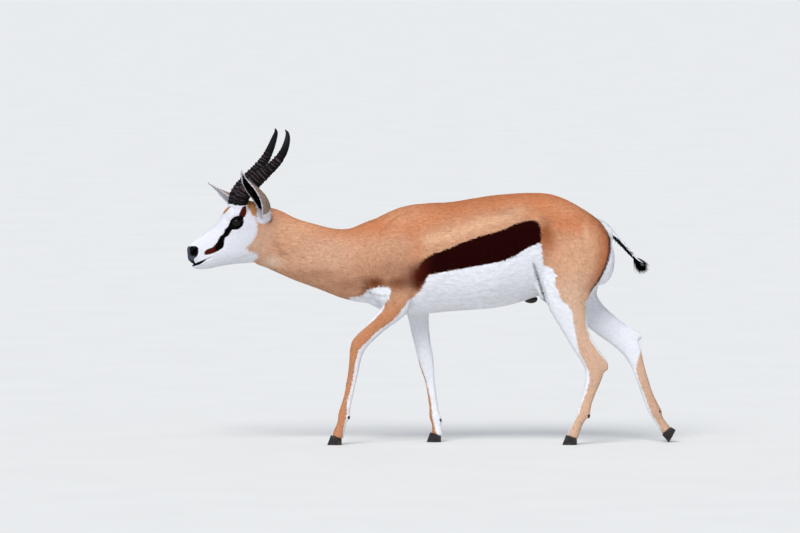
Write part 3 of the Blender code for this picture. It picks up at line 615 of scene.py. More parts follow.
# Coat: its colours
# Fine hair in cinnamon, tan and white, with a nearly black band along the flank and a dark
# stripe from eye to mouth. Each zone is an outline on the side of the body, or a range of
# the turn round a leg, and both sides carry the same ones, a little moved on the right.
FLANK_BAND = [
    (-66, 556), (-39, 577), (-7, 599), (24, 611), (56, 622), (87, 637), (119, 649),
    (150, 659), (182, 668), (213, 677), (245, 690), (276, 703), (308, 709), (330, 703),
    (340, 684), (341, 646), (333, 637), (308, 627), (276, 608), (245, 590), (213, 580),
    (182, 574), (119, 562), (56, 551), (24, 544), (-13, 537), (-23, 514), (-46, 489),
    (-66, 504), (-76, 532),
]
BELLY = [
    (-83, 380), (-84, 440), (-74, 458), (-40, 482), (-27, 512), (-14, 534), (24, 546), (56, 553),
    (119, 564), (182, 576), (245, 592), (276, 610), (308, 629), (333, 640), (343, 622),
    (345, 587), (350, 566), (377, 556), (389, 530), (384, 505), (396, 488), (402, 463),
    (418, 448), (440, 425), (440, 300), (-83, 300),
]
BREAST = [
    (-262, 462), (-221, 468), (-202, 489), (-177, 497), (-149, 500), (-130, 492),
    (-137, 462), (-150, 440), (-160, 380), (-262, 380),
]
FACE = [
    (-598, 800), (-590, 748), (-574, 728), (-570, 707), (-566, 676), (-576, 650),
    (-590, 631), (-603, 619), (-593, 611), (-579, 606), (-564, 598), (-558, 588),
    (-568, 573), (-580, 480), (-820, 480), (-820, 800),
]
EAR_BASE = [
    (-567, 730), (-560, 744), (-532, 744), (-513, 732), (-513, 716), (-526, 703), (-552, 696),
    (-568, 704),
]
RUMP_EDGE = [
    (441, 478), (473, 494), (495, 506), (514, 522), (536, 535), (558, 545), (583, 554),
    (614, 560), (646, 560), (678, 554), (700, 540), (712, 528),
]
CREST = [(425, 0), (440, 3), (480, 7), (520, 13), (548, 24), (575, 40)]
WARM_EDGE = [
    (-600, 720), (-495, 722), (-417, 690), (-322, 657), (-259, 643), (-196, 655),
    (-117, 671), (-54, 655), (-7, 680), (56, 700), (150, 726), (245, 748), (308, 742),
    (355, 700), (402, 655), (450, 668), (497, 676), (540, 676),
]
LIGHT_BAND = [(-14, 645), (56, 660), (135, 692), (213, 714), (276, 734)]
EYE_PATCH = [
    (-652, 709), (-643, 718), (-631, 722), (-616, 720), (-613, 710), (-615, 698), (-621, 687),
    (-634, 679), (-649, 679), (-655, 670), (-663, 661), (-670, 659), (-673, 668), (-670, 679),
    (-661, 688), (-656, 698),
]
FACE_STRIPE = [
    (-668, 674), (-674, 665), (-679, 659), (-684, 655), (-690, 644), (-699, 631), (-711, 620),
    (-722, 617), (-731, 610), (-733, 602), (-722, 602), (-708, 606), (-691, 614), (-678, 624),
    (-675, 637), (-674, 650), (-668, 658), (-660, 664),
]
EYE_STREAK = [(-616, 750), (-604, 753), (-603, 738), (-608, 718), (-628, 719), (-623, 736)]
BROW_PATCH = [
    (-602, 762), (-588, 768), (-575, 757), (-570, 736), (-574, 720), (-586, 728), (-590, 746),
    (-601, 750),
]
FOREHEAD_PATCH = (-654, 741, 1)  # place, height and out on the right
FOREHEAD_REACH = (15, 21, 15)
NOSE = [
    (-790, 606), (-781, 623), (-770, 628), (-757, 626), (-753, 614), (-756, 598), (-765, 590),
    (-767, 583), (-761, 573), (-767, 562), (-790, 570),
]
BOUNDS = {  # the range of place and of height in which a zone may lie, in mm
    "rump": (380, 900, 430, 720),
    "crest": (425, 900, 600, 900),
    "inner_thigh": (318, 900, -99, 600),
    "under": (-190, 60, -99, 500),
    "inner_face": (330, 900, 430, 570),
    "face": (-900, -470, -99, 900),
    "ear_base": (-900, -490, -99, 900),
    "nose": (-900, -745, -99, 900),
    "lips": (-900, -712, -99, 900),
}
OUTSIDE = -99
RIGHT_SHIFTS = [(52, (60, -40)), (40, (280, 360))]  # how far, and the places where it sets in
LEG_HEIGHTS = {  # the same places on each leg, from its top down to the coronet, in mm
    "foreleg_left": [422, 391, 359, 331, 300, 252, 205, 142, 97, 66, 24],
    "foreleg_right": [420, 385, 345, 305, 262, 222, 180, 125, 82, 54, 24],
    "hindleg_left": [447, 424, 376, 326, 285, 252, 214, 175, 137, 102, 71, 40, 22],
    "hindleg_right": [455, 420, 385, 350, 325, 300, 270, 225, 170, 120, 84, 55, 34],
}
TAN_FROM = {  # where the tan starts and ends on a leg, in degrees round it from the front
    "fore": [38, 38, 20, 8, -12, -30, -42, -60, -62, -60, -55],
    "hind": [83, 103, 94, 70, 43, 41, 58, 61, 52, 45, 28, 10, 0],
}
TAN_TO = {
    "fore": [122, 125, 116, 120, 101, 90, 105, 92, 118, 125, 135],
    "hind": [168, 166, 152, 146, 148, 172, 235, 300, 310, 310, 318, 325, 325],
}
BLOTS = [  # zone, place, height, half length, half height, strength
    # Painted shade: brown under the shoulder and above the breast, where the elbow shades it.
    ("brown", -180, 512, 46, 28, 0.95),
    ("brown", -110, 512, 50, 28, 0.8),
    ("brown", -206, 494, 26, 14, 0.7),
    ("brown", -140, 545, 90, 44, 0.4),
    # Painted shade: the far hind cannon, which lies in shadow.
    ("brown", 690, 180, 44, 130, 0.34),
    ("brown", -56, 520, 36, 40, 0.6),
    ("brown", 40, 760, 170, 40, 0.13),
    ("light", -220, 745, 70, 34, 0.35),
    ("light", -86, 722, 80, 44, 0.35),
    ("light", -417, 692, 70, 34, 0.35),
    ("pale", -540, 662, 32, 40, 0.3),
    ("light", 420, 740, 90, 30, 0.2),
    # Painted shade: brown along the underside of the neck and the brisket.
    ("brown", -370, 536, 90, 20, 0.30),
    ("brown", -260, 508, 70, 20, 0.35),
    ("brown", 356, 668, 24, 44, 0.6),
    ("warm", 356, 662, 40, 50, 0.9),
    ("warm", -40, 620, 34, 60, 0.40),
    ("warm", 300, 725, 60, 22, 0.5),
    ("brown", 240, 735, 60, 18, 0.2),
    ("light", 455, 560, 62, 80, 0.35),
    ("light", 482, 660, 10, 46, 0.6),
    ("light", 440, 470, 60, 60, 0.6),
    ("pale", 436, 480, 56, 60, 0.5),
    ("light", -400, 560, 90, 40, 0.35),
    ("pale", -510, 572, 36, 22, 0.9),
    ("pale", -560, 620, 34, 40, 0.5),
    ("pale", -330, 600, 90, 60, 0.18),
]
FOLDS = [  # zone, line of shade, half width and strength
    ("fold", [(319, 569), (338, 504), (360, 437)], 4.2, 1.0),
    ("fold", [(-198, 478), (-172, 474), (-146, 471)], 3.4, 0.45),
    ("fold", [(-640, 583), (-600, 596), (-572, 602)], 2.4, 0.14),
    ("fold", [(-690, 566), (-640, 572), (-596, 574)], 2.4, 0.12),
    ("brown", [(-225, 474), (-203, 497), (-176, 505), (-149, 508), (-126, 500)], 8, 0.8),
    ("brown", [(-517, 656), (-497, 625), (-474, 596)], 9, 0.22),
    ("brown", [(-492, 606), (-474, 598), (-456, 599)], 6, 0.34),
]


def depth_in(outline, x, z):
    """How far points lie inside a closed outline, in mm; below 0 they are outside it."""
    corners = flow([*outline, outline[0]], 2)[:-1]
    nearest, _ = from_line([*corners, corners[0]], x, z)
    inside = np.zeros(len(x), bool)
    for (ax, az), (bx, bz) in zip(corners, np.roll(corners, -1, axis=0)):
        if az != bz:
            inside ^= ((az > z) != (bz > z)) & (x < ax + (z - az) * (bx - ax) / (bz - az))
    return np.where(inside, nearest, -nearest)


def leg_slices(name):
    """The middle and half sizes of a leg at each of its heights, in mm, read from its solid."""
    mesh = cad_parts[name].data
    corners = points_of(mesh)[np.array([polygon.vertices[:] for polygon in mesh.polygons])] / MM
    starts = corners.reshape(-1, 3)
    ends = np.roll(corners, -1, axis=1).reshape(-1, 3)
    rows = []
    for height in LEG_HEIGHTS[name]:
        crossing = (starts[:, 2] > height) != (ends[:, 2] > height)
        a, b = starts[crossing], ends[crossing]
        cut = a + (b - a) * ((height - a[:, 2]) / (b[:, 2] - a[:, 2]))[:, None]
        low, high = cut.min(axis=0), cut.max(axis=0)
        rows.append([height, *((low + high) / 2)[:2], *((high - low) / 2)[:2]])
    return np.array(rows[::-1])


LEGS = {name: leg_slices(name) for name in LEG_HEIGHTS}


def leg_places(spots):
    """For each leg: which points are on it, their angle round it, its girth and its row."""
    x, y, z = spots[:, 0], spots[:, 1], spots[:, 2]
    for name, rows in LEGS.items():
        side = -1 if name.endswith("left") else 1
        fore = name.startswith("fore")
        near = (side * (y - MIDDLE / MM) > 0) & ((x < 150) == fore)
        heights = rows[:, 0]
        middle_x, middle_y, half_x, half_y = (np.interp(z, heights, rows[:, i]) for i in range(1, 5))
        ahead = (middle_x - x) / half_x
        outward = side * (y - middle_y) / half_y
        angle = np.degrees(np.arctan2(outward, ahead))
        row = np.interp(z, heights, np.arange(len(heights))[::-1])
        yield name, near, angle, (half_x + half_y) / 2, row


def markings(points, facing):
    """The coat's zones at points of the hide. Edged zones are in mm, above 0 inside them."""
    spots = points / MM
    in_line = straightened(points) / MM
    x, z, out = in_line[:, 0], in_line[:, 2], np.abs(in_line[:, 1])
    low_on_right = rise(z, 610, 470) * (in_line[:, 1] > 0)
    x = x - low_on_right * sum(shift * rise(x, *ends) for shift, ends in RIGHT_SHIFTS)
    on_head = rise(x, -490, -520)

    def within(name, depth):
        """The depth where its zone may lie, and far outside elsewhere."""
        front, rear, bottom, top = BOUNDS[name]
        return np.where((x > front) & (x < rear) & (z > bottom) & (z < top), depth, OUTSIDE)

    rump = within("rump", x - np.interp(z, *np.array(RUMP_EDGE).T))
    inward = -facing[:, 1] * np.sign(in_line[:, 1])
    white_parts = [
        depth_in(BELLY, x, z),
        depth_in(BREAST, x, z),
        within("face", 0.5 * depth_in(FACE, x, z)),
        within("ear_base", depth_in(EAR_BASE, x, z)),
        rump,
        within("crest", np.interp(x, *np.array(CREST).T) - out),
        within("inner_thigh", 44 - out - 0.12 * np.maximum(z - 470, 0)),
        within("inner_face", 22 * (inward - 0.1)),
        within("under", np.minimum(46 - out, 486 - z)),
    ]
    white = np.maximum.reduce(white_parts)
    leg_tan = np.zeros(len(x))
    pale = np.zeros(len(x))
    for name, near, angle, girth, row in leg_places(spots):
        kind = name[:4]
        rows = np.arange(len(TAN_FROM[kind]))
        start = np.interp(row, rows, TAN_FROM[kind])
        end = np.interp(row, rows, TAN_TO[kind])
        aside = (angle - (start + end) / 2 + 180) % 360 - 180
        tan_depth = ((end - start) / 2 - np.abs(aside)) * np.pi / 180 * girth
        share = rise(z, 446, 428) * near
        white = white * (1 - share) + -tan_depth * share
        if kind == "fore":
            leg_tan += near * rise(z, 490, 400) * 0.6
        else:
            leg_tan += near * rise(z, 330, 200) * 0.12
            pale += near * rise(z, 600, 390) * 0.55
        pastern = rise(row, rows[-1] - 3.2, rows[-1] - 1.2) * near * (kind == "hind")
        white += 4.0 * pastern
    flank = depth_in(FLANK_BAND, x, z)
    flank = flank / (1 + 3.0 * rise(x, -22, -62) * rise(z, 470, 520))

    off_face = np.where((x < -520) & (out > 8), 0, OUTSIDE)
    eye_patch = depth_in(EYE_PATCH, x, z) + off_face + 0.6
    stripe = depth_in(FACE_STRIPE, x, z) + off_face + 1.8
    streak = depth_in(EYE_STREAK, x, z) + off_face
    brow = depth_in(BROW_PATCH, x, z) + off_face
    from_patch = (np.column_stack([x, z, in_line[:, 1]]) - FOREHEAD_PATCH) / FOREHEAD_REACH
    forehead = 15 * (1 - np.linalg.norm(from_patch, axis=1)) + OUTSIDE * (x > -520)
    nose = within("nose", depth_in(NOSE, x, z))
    leather = rise(((x + 767) / 11) ** 4 + ((z - 614) / 17) ** 4, 0.7, 1.9)
    leather = np.maximum(leather, rise(out, 9, 5))
    lips = within("lips", 4.6 * rise(x, -710, -752) - from_line(MOUTH[:4], x, z)[0])
    eye_reach = np.minimum(lid_reach(points, -1), lid_reach(points, 1))
    lids = np.where(eye_reach < 8, (1.25 - eye_reach) * 11, OUTSIDE)
    black = np.maximum.reduce([stripe - 30 * rise(x, -692, -716), nose, lips, eye_patch])
    bare = np.maximum.reduce([nose - 1.5, lips - 1.5, lids])
    zones = {
        "white": white,
        "flank": flank,
        "black": black,
        "bare": bare,
        "rust": np.maximum(stripe, streak),
        "brow": np.maximum(brow, forehead),
        "russet": rise(x, 10, -62),
        "orange": leg_tan,
        "leather": leather * rise(z, 577, 587) * (x < -745),
    }
    edge = np.interp(x, *np.array(WARM_EDGE).T)
    haunch = rise(z, 455, 525) * (white < 3)
    tones = {
        "warm": np.maximum(0.92 * rise(z - edge, -50, 52), 0.9 * rise(rump, -62, -8) * haunch),
        "light": bell((from_line(LIGHT_BAND, x, z)[0], 17)) * 0.7,
        "pale": pale,
        "brown": (1.1 * bell((rump, 6)) + 0.42 * bell((rump, 34))) * haunch,
        "fold": 0.6 * bell((rump + 3, 4)) * haunch,
        "sleek": np.maximum(rise(z, 470, 400), on_head),
        # Painted shade: the share of the face's darker white, growing towards the top of the head,
        # where the sun falls most.
        "head": on_head * (0.2 + 0.8 * rise(z, 610, 690)),
    }
    for zone, line, width, strength in FOLDS:
        gap, along = from_line(line, x, z)
        ends = np.sin(np.pi * np.clip(along, 0.15, 0.85)) ** 0.5
        mark = strength * bell((gap, width)) * ends
        tones[zone] = np.maximum(tones[zone], mark * (out > 20))
    for zone, place, height, half_x, half_z, strength in BLOTS:
        blot = strength * bell((x - place, half_x), (z - height, half_z))
        tones[zone] = np.maximum(tones[zone], blot)
    zones.update(tones)
    zones["tail"] = np.zeros(len(x))
    zones["ear"] = np.zeros(len(x))
    mark_ears(spots, facing, zones)
    mark_tail(spots, facing, zones)
    return zones


EARS = {  # root and way to the tip on the straight head, and where the cup opens, in mm
    "left": (-1, (-541, 722, 34), (-97, 77, 144), (-0.98, 0.02, 0.0)),
    "right": (1, (-549, 702, 35), (-121, 105, 113), (-0.86, -0.12, -0.48)),
}
EAR_SWEEP = {  # share of an ear's length, and how far it bends forward there, in mm
    "left": [(0, 2), (0.2, -6), (0.4, -4), (0.6, 5), (0.75, 10.5), (0.9, 8), (1, 0)],
    "right": [(0, 0), (1, 0)],
}
EAR_TWIST = {"left": 62, "right": 0}  # how far the cup turns outward to the tip, in degrees
EAR_SUNK = 18
EAR_BOW = 11
EAR_REACH = 4
RIM_WIDTH = 2.3
EAR_FOOT = 0.19


def ear_places(spots):
    """For each ear: the points on it, their share of its length and their place round it."""
    for name, (side, base, reach, opening) in EARS.items():
        root = with_head(base[0] * MM, base[1] * MM, side * base[2] * MM)[0] / MM
        way = HEAD_TURN @ np.array([reach[0], side * reach[1], reach[2]])
        length = np.linalg.norm(way) + EAR_SUNK
        ahead = unit(way)
        facing_out = HEAD_TURN @ np.array([0, side, 0])
        opens = HEAD_TURN @ np.array([opening[0], side * opening[1], opening[2]])
        opens = unit(opens - ahead * (opens @ ahead))
        share = ((spots - root) @ ahead + EAR_SUNK) / length
        bow = EAR_BOW * np.sin(np.pi * np.clip(share, 0, 1))
        bend = np.interp(share, *np.array(EAR_SWEEP[name]).T)
        offset = spots - root - np.outer(share * length - EAR_SUNK, ahead) - np.outer(bow, facing_out)
        offset -= np.outer(bend, HEAD_TURN @ np.array([-1.0, 0, 0]))
        turned = -side * np.radians(EAR_TWIST[name]) * np.clip((share - 0.15) / 0.75, 0, 1)
        beside = np.cross(ahead, opens)
        mouth = np.outer(np.cos(turned), opens) + np.outer(np.sin(turned), beside)
        around = np.arccos(np.clip(-np.einsum("ij,ij->i", unit(offset), mouth), -1, 1))
        rim = np.radians(138 - 66 * np.clip(share, 0, 1) ** 0.8) - around
        rim *= np.linalg.norm(offset, axis=1)
        on_ear = (ear_gap(spots * MM, name) < EAR_REACH) & (share > 0.06)
        yield on_ear, share, offset, rim, unit(offset) @ facing_out, ahead


def mark_ears(spots, facing, zones):
    """Grey backs, black hollows and white hair along the rims and the outer wall's inside."""
    for on_ear, share, offset, rim, outward, _ in ear_places(spots):
        hollow = on_ear & (np.einsum("ij,ij->i", unit(offset), facing) < 0) & (share > 0.16)
        pale = np.maximum(RIM_WIDTH - rim, 14 * (outward - 0.35))
        zones["ear"] = np.maximum(zones["ear"], on_ear)
        back = np.maximum(RIM_WIDTH - 0.6 - rim, 190 * (EAR_FOOT - share))
        zones["white"] = np.where(on_ear, np.where(hollow, pale, back), zones["white"])
        zones["black"] = np.where(on_ear, np.where(hollow, -pale, -9.0), zones["black"])
        for field in ("brow", "rust", "flank", "bare"):
            zones[field] = np.where(on_ear, OUTSIDE, zones[field])


def mark_tail(spots, facing, zones):
    """A white tail with a black line below it."""
    line = tail_points / MM
    gap, share = from_line(line[:, [0, 2]], spots[:, 0], spots[:, 2])
    on_tail = (spots[:, 0] > 558) & (gap < 14) & (np.abs(spots[:, 1] - MIDDLE / MM) < 12)
    down = unit(line[-1] - line[4])
    below = np.cross(down, [0, 1.0, 0])
    below = below if below[2] < 0 else -below
    under = facing @ below
    zones["white"] = np.where(on_tail, 9, zones["white"])
    black = np.where(share > 0.90, 9, 9 * (under - 0.05) - 9 * (share < 0.28))
    zones["black"] = np.where(on_tail, black, zones["black"])
    zones["tail"] = np.where(on_tail, share, 0)


def carry(mesh, zones, repeat=1):
    """Stores the zones on a mesh; each value serves so many points."""
    for name, values in zones.items():
        field = mesh.attributes.new(name, "FLOAT", "POINT")
        field.data.foreach_set("value", np.repeat(values, repeat).astype(np.float32))


CINNAMON = paint(201, 127, 85)
TAN = paint(204, 153, 121)
SAND = paint(226, 178, 142)
PALE = paint(222, 192, 168)
ORANGE_TAN = paint(190, 120, 76)
DEEP_BROWN = paint(104, 50, 21)
RUSSET = paint(76, 25, 14)
BAND_BLACK = paint(33, 5, 4)
FOLD_SHADE = paint(52, 44, 52)
# Painted light and shade on the whites: the first white below is set bright to lift whites that lie
# in shade, and the face's white after it is a darker copy for where the sun falls on the head.
WHITE = paint(241, 242, 247)
DIMMED_FACE_WHITE = paint(229, 228, 236)
BLACK = paint(9, 7, 9)
BROW_ORANGE = paint(196, 134, 82)
EAR_GREY = paint(158, 139, 124)
EAR_SHADE = paint(104, 88, 80)
LEATHER = paint(72, 72, 86)


def coat_colour(wire, shift):
    """The colour that the zones call for; shift moves each zone's edge a little, in mm."""
    place = wire.place()
    drift = wire.noise(place, 9.0, 3.0).between(0.25, 0.75)
    brushed = wire.noise(place, 150.0, 4.0, (0.3, 1, 0.8)).between(0.3, 0.7)
    mottle = wire.noise(place, 150.0, 3.0).between(0.42, 0.62) * 0.6
    warm = wire.field("warm") + (drift - 0.5) * 0.25
    colour = warm.between(0.0, 1.0).over(TAN, CINNAMON)
    colour = wire.field("orange").over(colour, ORANGE_TAN)
    colour = (wire.field("light") * (0.75 + drift * 0.4)).over(colour, SAND)
    colour = wire.field("pale").over(colour, PALE)
    colour = wire.field("brown").over(colour, DEEP_BROWN)
    colour = wire.field("ear").over(colour, mottle.over(EAR_GREY, EAR_SHADE))
    # Painted shade: the face's white is darker towards the top of the head.
    white = wire.field("head").over(WHITE, DIMMED_FACE_WHITE)
    colour = (wire.field("white") + shift).between(-2.4, 2.4).over(colour, white)
    colour = (wire.field("brow") + shift).between(-2.5, 2.5).over(colour, BROW_ORANGE)
    colour = (wire.field("rust") + shift * 0.5).between(-1.2, 1.2).over(colour, RUSSET)
    band = wire.field("russet").over(BAND_BLACK, RUSSET)
    reach = 1.8 + wire.field("russet") * 7
    colour = ((wire.field("flank") + shift) / reach).between(-1, 1).over(colour, band)
    colour = (wire.field("black") + shift * 0.4).between(-1.0, 1.0).over(colour, BLACK)
    colour = wire.field("fold").over(colour, FOLD_SHADE)
    swing = 0.14 - wire.field("sleek") * 0.09
    return (1.02 - swing * 0.5 + (brushed - 0.15) * swing).times(colour)


def hide_dress(wire):
    place = wire.place()
    fray = (wire.noise(place, 260.0, 2.0, (0.35, 1, 1)) - 0.5) * 5
    bare = wire.field("bare").between(-0.6, 0.6)
    streaks = wire.noise(place, 420.0, 3.0, (0.22, 1, 0.6))
    pebbles = wire.node("TexVoronoi", {}, {"Vector": place, "Scale": 900.0})
    hair_tone = streaks.between(0.25, 0.75) * 0.14 + 0.86
    colour = hair_tone.times(coat_colour(wire, fray))
    leather = wire.field("leather").over(BLACK, LEATHER)
    colour = bare.over(colour, (pebbles * 0.5 + 0.75).times(leather))
    height = streaks * (1 - bare) + pebbles * bare * 0.7
    return {
        "Base Color": colour,
        "Roughness": 0.8 - bare * 0.3,
        "Normal": wire.bump(height, 0.0005, 0.35),
    }


zones = markings(points_of(skin), normals_of(skin))
carry(skin, zones)
hide.data.materials[0] = finish("hide_and_hair", hide_dress, Specular_IOR_Level=0.03)
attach(hide, "root")
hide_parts(*FLESH, "tail")

# Coat: its hair
# Short, fine hair that lies close to the hide and runs from the nose back over the neck and
# trunk and down the legs. It is made as flat pointed tufts, each rooted in the hide.
SEED = 11
TUFTS = {  # spacing, length, half width and lift of the tip, in mm
    "face": (2.15, 5.5, 0.8, 0.4),
    "ear": (2.5, 6.0, 0.85, 0.35),
    "neck": (3.2, 12.0, 1.15, 0.75),
    "trunk": (3.45, 13.0, 1.25, 0.85),
    "leg": (3.0, 9.0, 1.1, 0.6),
    "crest": (2.8, 17.0, 1.2, 1.6),
    "tail": (2.2, 12.0, 1.0, 1.4),
}
TUFTS_IN_PIECE = 19000
TUFT_RIDGE = 0.26  # how far a tuft's middle stands out, as a share of its half width
TUFT_THICKNESS = 0.10 * MM
TUFT_ROUNDING = 0.14
SHORT_SWING = 9  # how far each tuft turns from its neighbours, in degrees
SHORT_LENGTHS = (0.72, 1.22)
SHORT_WIDTHS = (0.75, 1.2)
SHORT_LIFTS = (0.6, 1.3)
BAKE_PATCH = 0.003
CORONET = 19 * MM
HAIR_TURNS = [  # ranges of place and height over which the hair turns, and the way it gains
    ((330, 440), (-900, -800), (760, 640), (-0.55, 0, -0.95)),
    ((-10, -70), (-260, -200), (640, 540), (-0.5, 0, -0.8)),
    ((-120, -200), (-900, -800), (560, 470), (0.2, 0, -0.2)),
]


def triangles_of(mesh):
    mesh.calc_loop_triangles()
    return [read(mesh.loop_triangles, name, 3, np.int32) for name in ("vertices", "loops")]


def kinds_of(points, zones):
    """The kind of hair at each point, as its name in TUFTS."""
    spots = straightened(points) / MM
    x, z = spots[:, 0], spots[:, 2]
    kinds = np.full(len(points), "trunk", dtype="<U6")
    kinds[x < -200] = "neck"
    kinds[(z < 440) & (x < 150)] = "leg"
    kinds[(z < 470) & (x > 340)] = "leg"
    kinds[x < -520] = "face"
    kinds[(x > 470) & (z > 600) & (np.abs(spots[:, 1]) < 24)] = "crest"
    kinds[zones["ear"] > 0.3] = "ear"
    kinds[zones["tail"] > 0] = "tail"
    return kinds


def lie_of(points, facing, kinds):
    """The way the hair runs at each point, flat on the hide."""
    spots = straightened(points) / MM
    x, z = spots[:, 0], spots[:, 2]
    way = np.column_stack([np.ones(len(x)), np.zeros(len(x)), np.full(len(x), -0.22)])
    for first, second, height, gain in HAIR_TURNS:
        share = rise(x, *first) * rise(x, *second) * rise(z, *height)
        way += share[:, None] * np.array(gain)
    for name, near, *_ in leg_places(points / MM):
        rows = LEGS[name]
        lean = np.gradient(rows[:, 1], rows[:, 0])
        run = np.column_stack([-np.interp(z, rows[:, 0], lean), np.zeros(len(z)), -np.ones(len(z))])
        share = (rise(z, 490, 420) * near)[:, None]
        way = way * (1 - share) + unit(run) * share
    face = kinds == "face"
    up = 0.42 * rise(x, -560, -640) + 0.05
    face_way = np.column_stack([np.ones(len(x)), np.zeros(len(x)), up])
    way[face] = (face_way @ HEAD_TURN.T)[face]
    for on_ear, *_, ahead in ear_places(points / MM):
        way[on_ear] = ahead
    way[kinds == "tail"] = unit(tail_points[-1] - tail_points[6])
    swirl = 0.14 * np.sin(x / 23 + 1.7 * np.sin(z / 31)) + 0.08 * np.sin(z / 9 + x / 13)
    way += swirl[:, None] * np.cross(facing, unit(way))
    way -= facing * np.einsum("ij,ij->i", way, facing)[:, None]
    return unit(way)


def rooted(mesh, spacing, rng, chance):
    """Spots spread evenly over the hide's triangles where the chance asks for this hair."""
    corners, loops = triangles_of(mesh)
    points, normals = points_of(mesh), normals_of(mesh)
    a, b, c = (points[corners[:, i]] for i in range(3))
    area = np.linalg.norm(np.cross(b - a, c - a), axis=1) / 2 * chance
    edge = np.cumsum(area)
    count = int(edge[-1] / (spacing * MM) ** 2)
    picks = np.searchsorted(edge, (np.arange(count) + rng.random(count)) * edge[-1] / count)
    picks = np.minimum(picks, len(corners) - 1)
    u, v = rng.random(count), rng.random(count)
    folded = u + v > 1
    u[folded], v[folded] = 1 - u[folded], 1 - v[folded]
    shares = np.column_stack([1 - u - v, u, v])[:, :, None]
    flat = read(mesh.uv_layers["OFBake"].data, "uv", 2, np.float32)
    spots = (points[corners[picks]] * shares).sum(axis=1)
    facing = unit((normals[corners[picks]] * shares).sum(axis=1))
    return spots, facing, (flat[loops[picks]] * shares).sum(axis=1)


hide_tree = BVHTree.FromPolygons(
    [tuple(point) for point in points_of(skin)], triangles_of(skin)[0].tolist()
)


def settled(spots, facing):
    """Spots moved to the hide below them, and the way that the hide faces there."""
    ground = np.empty_like(spots)
    face = np.empty_like(spots)
    for i, spot in enumerate(spots):
        ground[i], face[i], *_ = hide_tree.find_nearest(spot)
    same_side = np.einsum("ij,ij->i", face, facing) > 0.2
    ground[~same_side] = spots[~same_side]
    face = np.where(same_side[:, None], unit(face + facing), facing)
    return ground, unit(face)


def tufts_mesh(name, stations, tips, beside, uv):
    """Closed, pointed tufts of three sides. A station is a share of the length, a half width
    for each tuft, the spots where the tufts lie there, and the way out from the hide."""
    rings, normals, patches = [], [], []
    for share, half_width, spots, out in stations:
        reach = half_width[:, None] * beside
        ridge = out * (TUFT_RIDGE * half_width + TUFT_THICKNESS)[:, None]
        rings += [spots - reach, spots + reach, spots + ridge]
        turned = TUFT_ROUNDING * beside
        normals += [unit(out - turned), unit(out + turned), out]
        patches += [uv + BAKE_PATCH * np.array([turn, share - 0.5]) for turn in (-0.5, 0.5, 0)]
    rings.append(tips)
    normals.append(stations[-1][3])
    patches.append(uv + BAKE_PATCH * np.array([0, 0.5]))
    tip = len(rings) - 1
    faces = [(0, 2, 1)]
    for base in range(0, tip - 3, 3):
        for i, j in ((0, 1), (1, 2), (2, 0)):
            faces += [(base + i, base + j, base + j + 3), (base + i, base + j + 3, base + i + 3)]
    faces += [(tip - 3 + i, tip - 3 + j, tip) for i, j in ((0, 1), (1, 2), (2, 0))]
    first = (np.arange(len(tips)) * len(rings))[:, None, None]
    every = (np.array(faces)[None] + first).ravel().astype(np.int32)
    mesh = bpy.data.meshes.new(name)
    mesh.vertices.add(len(tips) * len(rings))
    mesh.vertices.foreach_set("co", np.stack(rings, axis=1).ravel())
    mesh.loops.add(len(every))
    mesh.loops.foreach_set("vertex_index", every)
    mesh.polygons.add(len(every) // 3)
    mesh.polygons.foreach_set("loop_start", np.arange(0, len(every), 3, dtype=np.int32))
    mesh.update(calc_edges=True)
    spread = np.stack(patches, axis=1).reshape(-1, 2).astype(np.float32)
    mesh.uv_layers.new(name="OFBake").data.foreach_set("uv", spread[every].ravel())
    mesh.shade_smooth()
    mesh.normals_split_custom_set_from_vertices(np.stack(normals, axis=1).reshape(-1, 3).tolist())
    return mesh


def hair_dress(wire):
    lot = wire.field("lot")
    strokes = lot.between(0.88, 0.97) * 0.12 - lot.between(0.14, 0.03) * 0.17
    plain = 1 - wire.field("white").between(-1, 1) * 0.7
    tone = 0.87 + lot * 0.16 * plain + strokes * plain + wire.field("up") * 0.03
    return {
        "Base Color": tone.times(coat_colour(wire, (lot - 0.5) * 4)),
        "Roughness": 0.8 - wire.field("flank").between(-1, 1) * 0.1,
    }


hair_finish = finish("hair", hair_dress, Specular_IOR_Level=0.01)


def add_coat(name, stations, tips, beside, uv, marks, rng):
    """Adds tufts as pieces of the coat, each of at most TUFTS_IN_PIECE tufts, with their markings."""
    count = len(tips)
    for number, start in enumerate(range(0, count, TUFTS_IN_PIECE), 1):
        part = slice(start, start + TUFTS_IN_PIECE)
        title = f"{name}_{number}" if count > TUFTS_IN_PIECE else name
        rows = [(row[0], *(values[part] for values in row[1:])) for row in stations]
        mesh = tufts_mesh(title, rows, tips[part], beside[part], uv[part])
        corners = 3 * len(rows) + 1
        carry(mesh, {key: values[part] for key, values in marks.items()}, corners)
        lots = rng.random(len(tips[part]))
        shares = np.append(np.repeat([row[0] for row in rows], 3), 1.0)
        carry(mesh, {"lot": np.repeat(lots, corners), "up": np.tile(shares, len(lots))})
        piece = add_piece(title, mesh, hair_finish)
        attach(piece, "root")


def varied(size, low, high, count, rng):
    return size * MM * (low + (high - low) * rng.random(count))


def swung(way, facing, spread, rng):
    """Directions turned a little on the hide, each its own way."""
    turn = np.radians(rng.normal(0, spread, len(way)))[:, None]
    return unit(way * np.cos(turn) + np.cross(facing, way) * np.sin(turn))


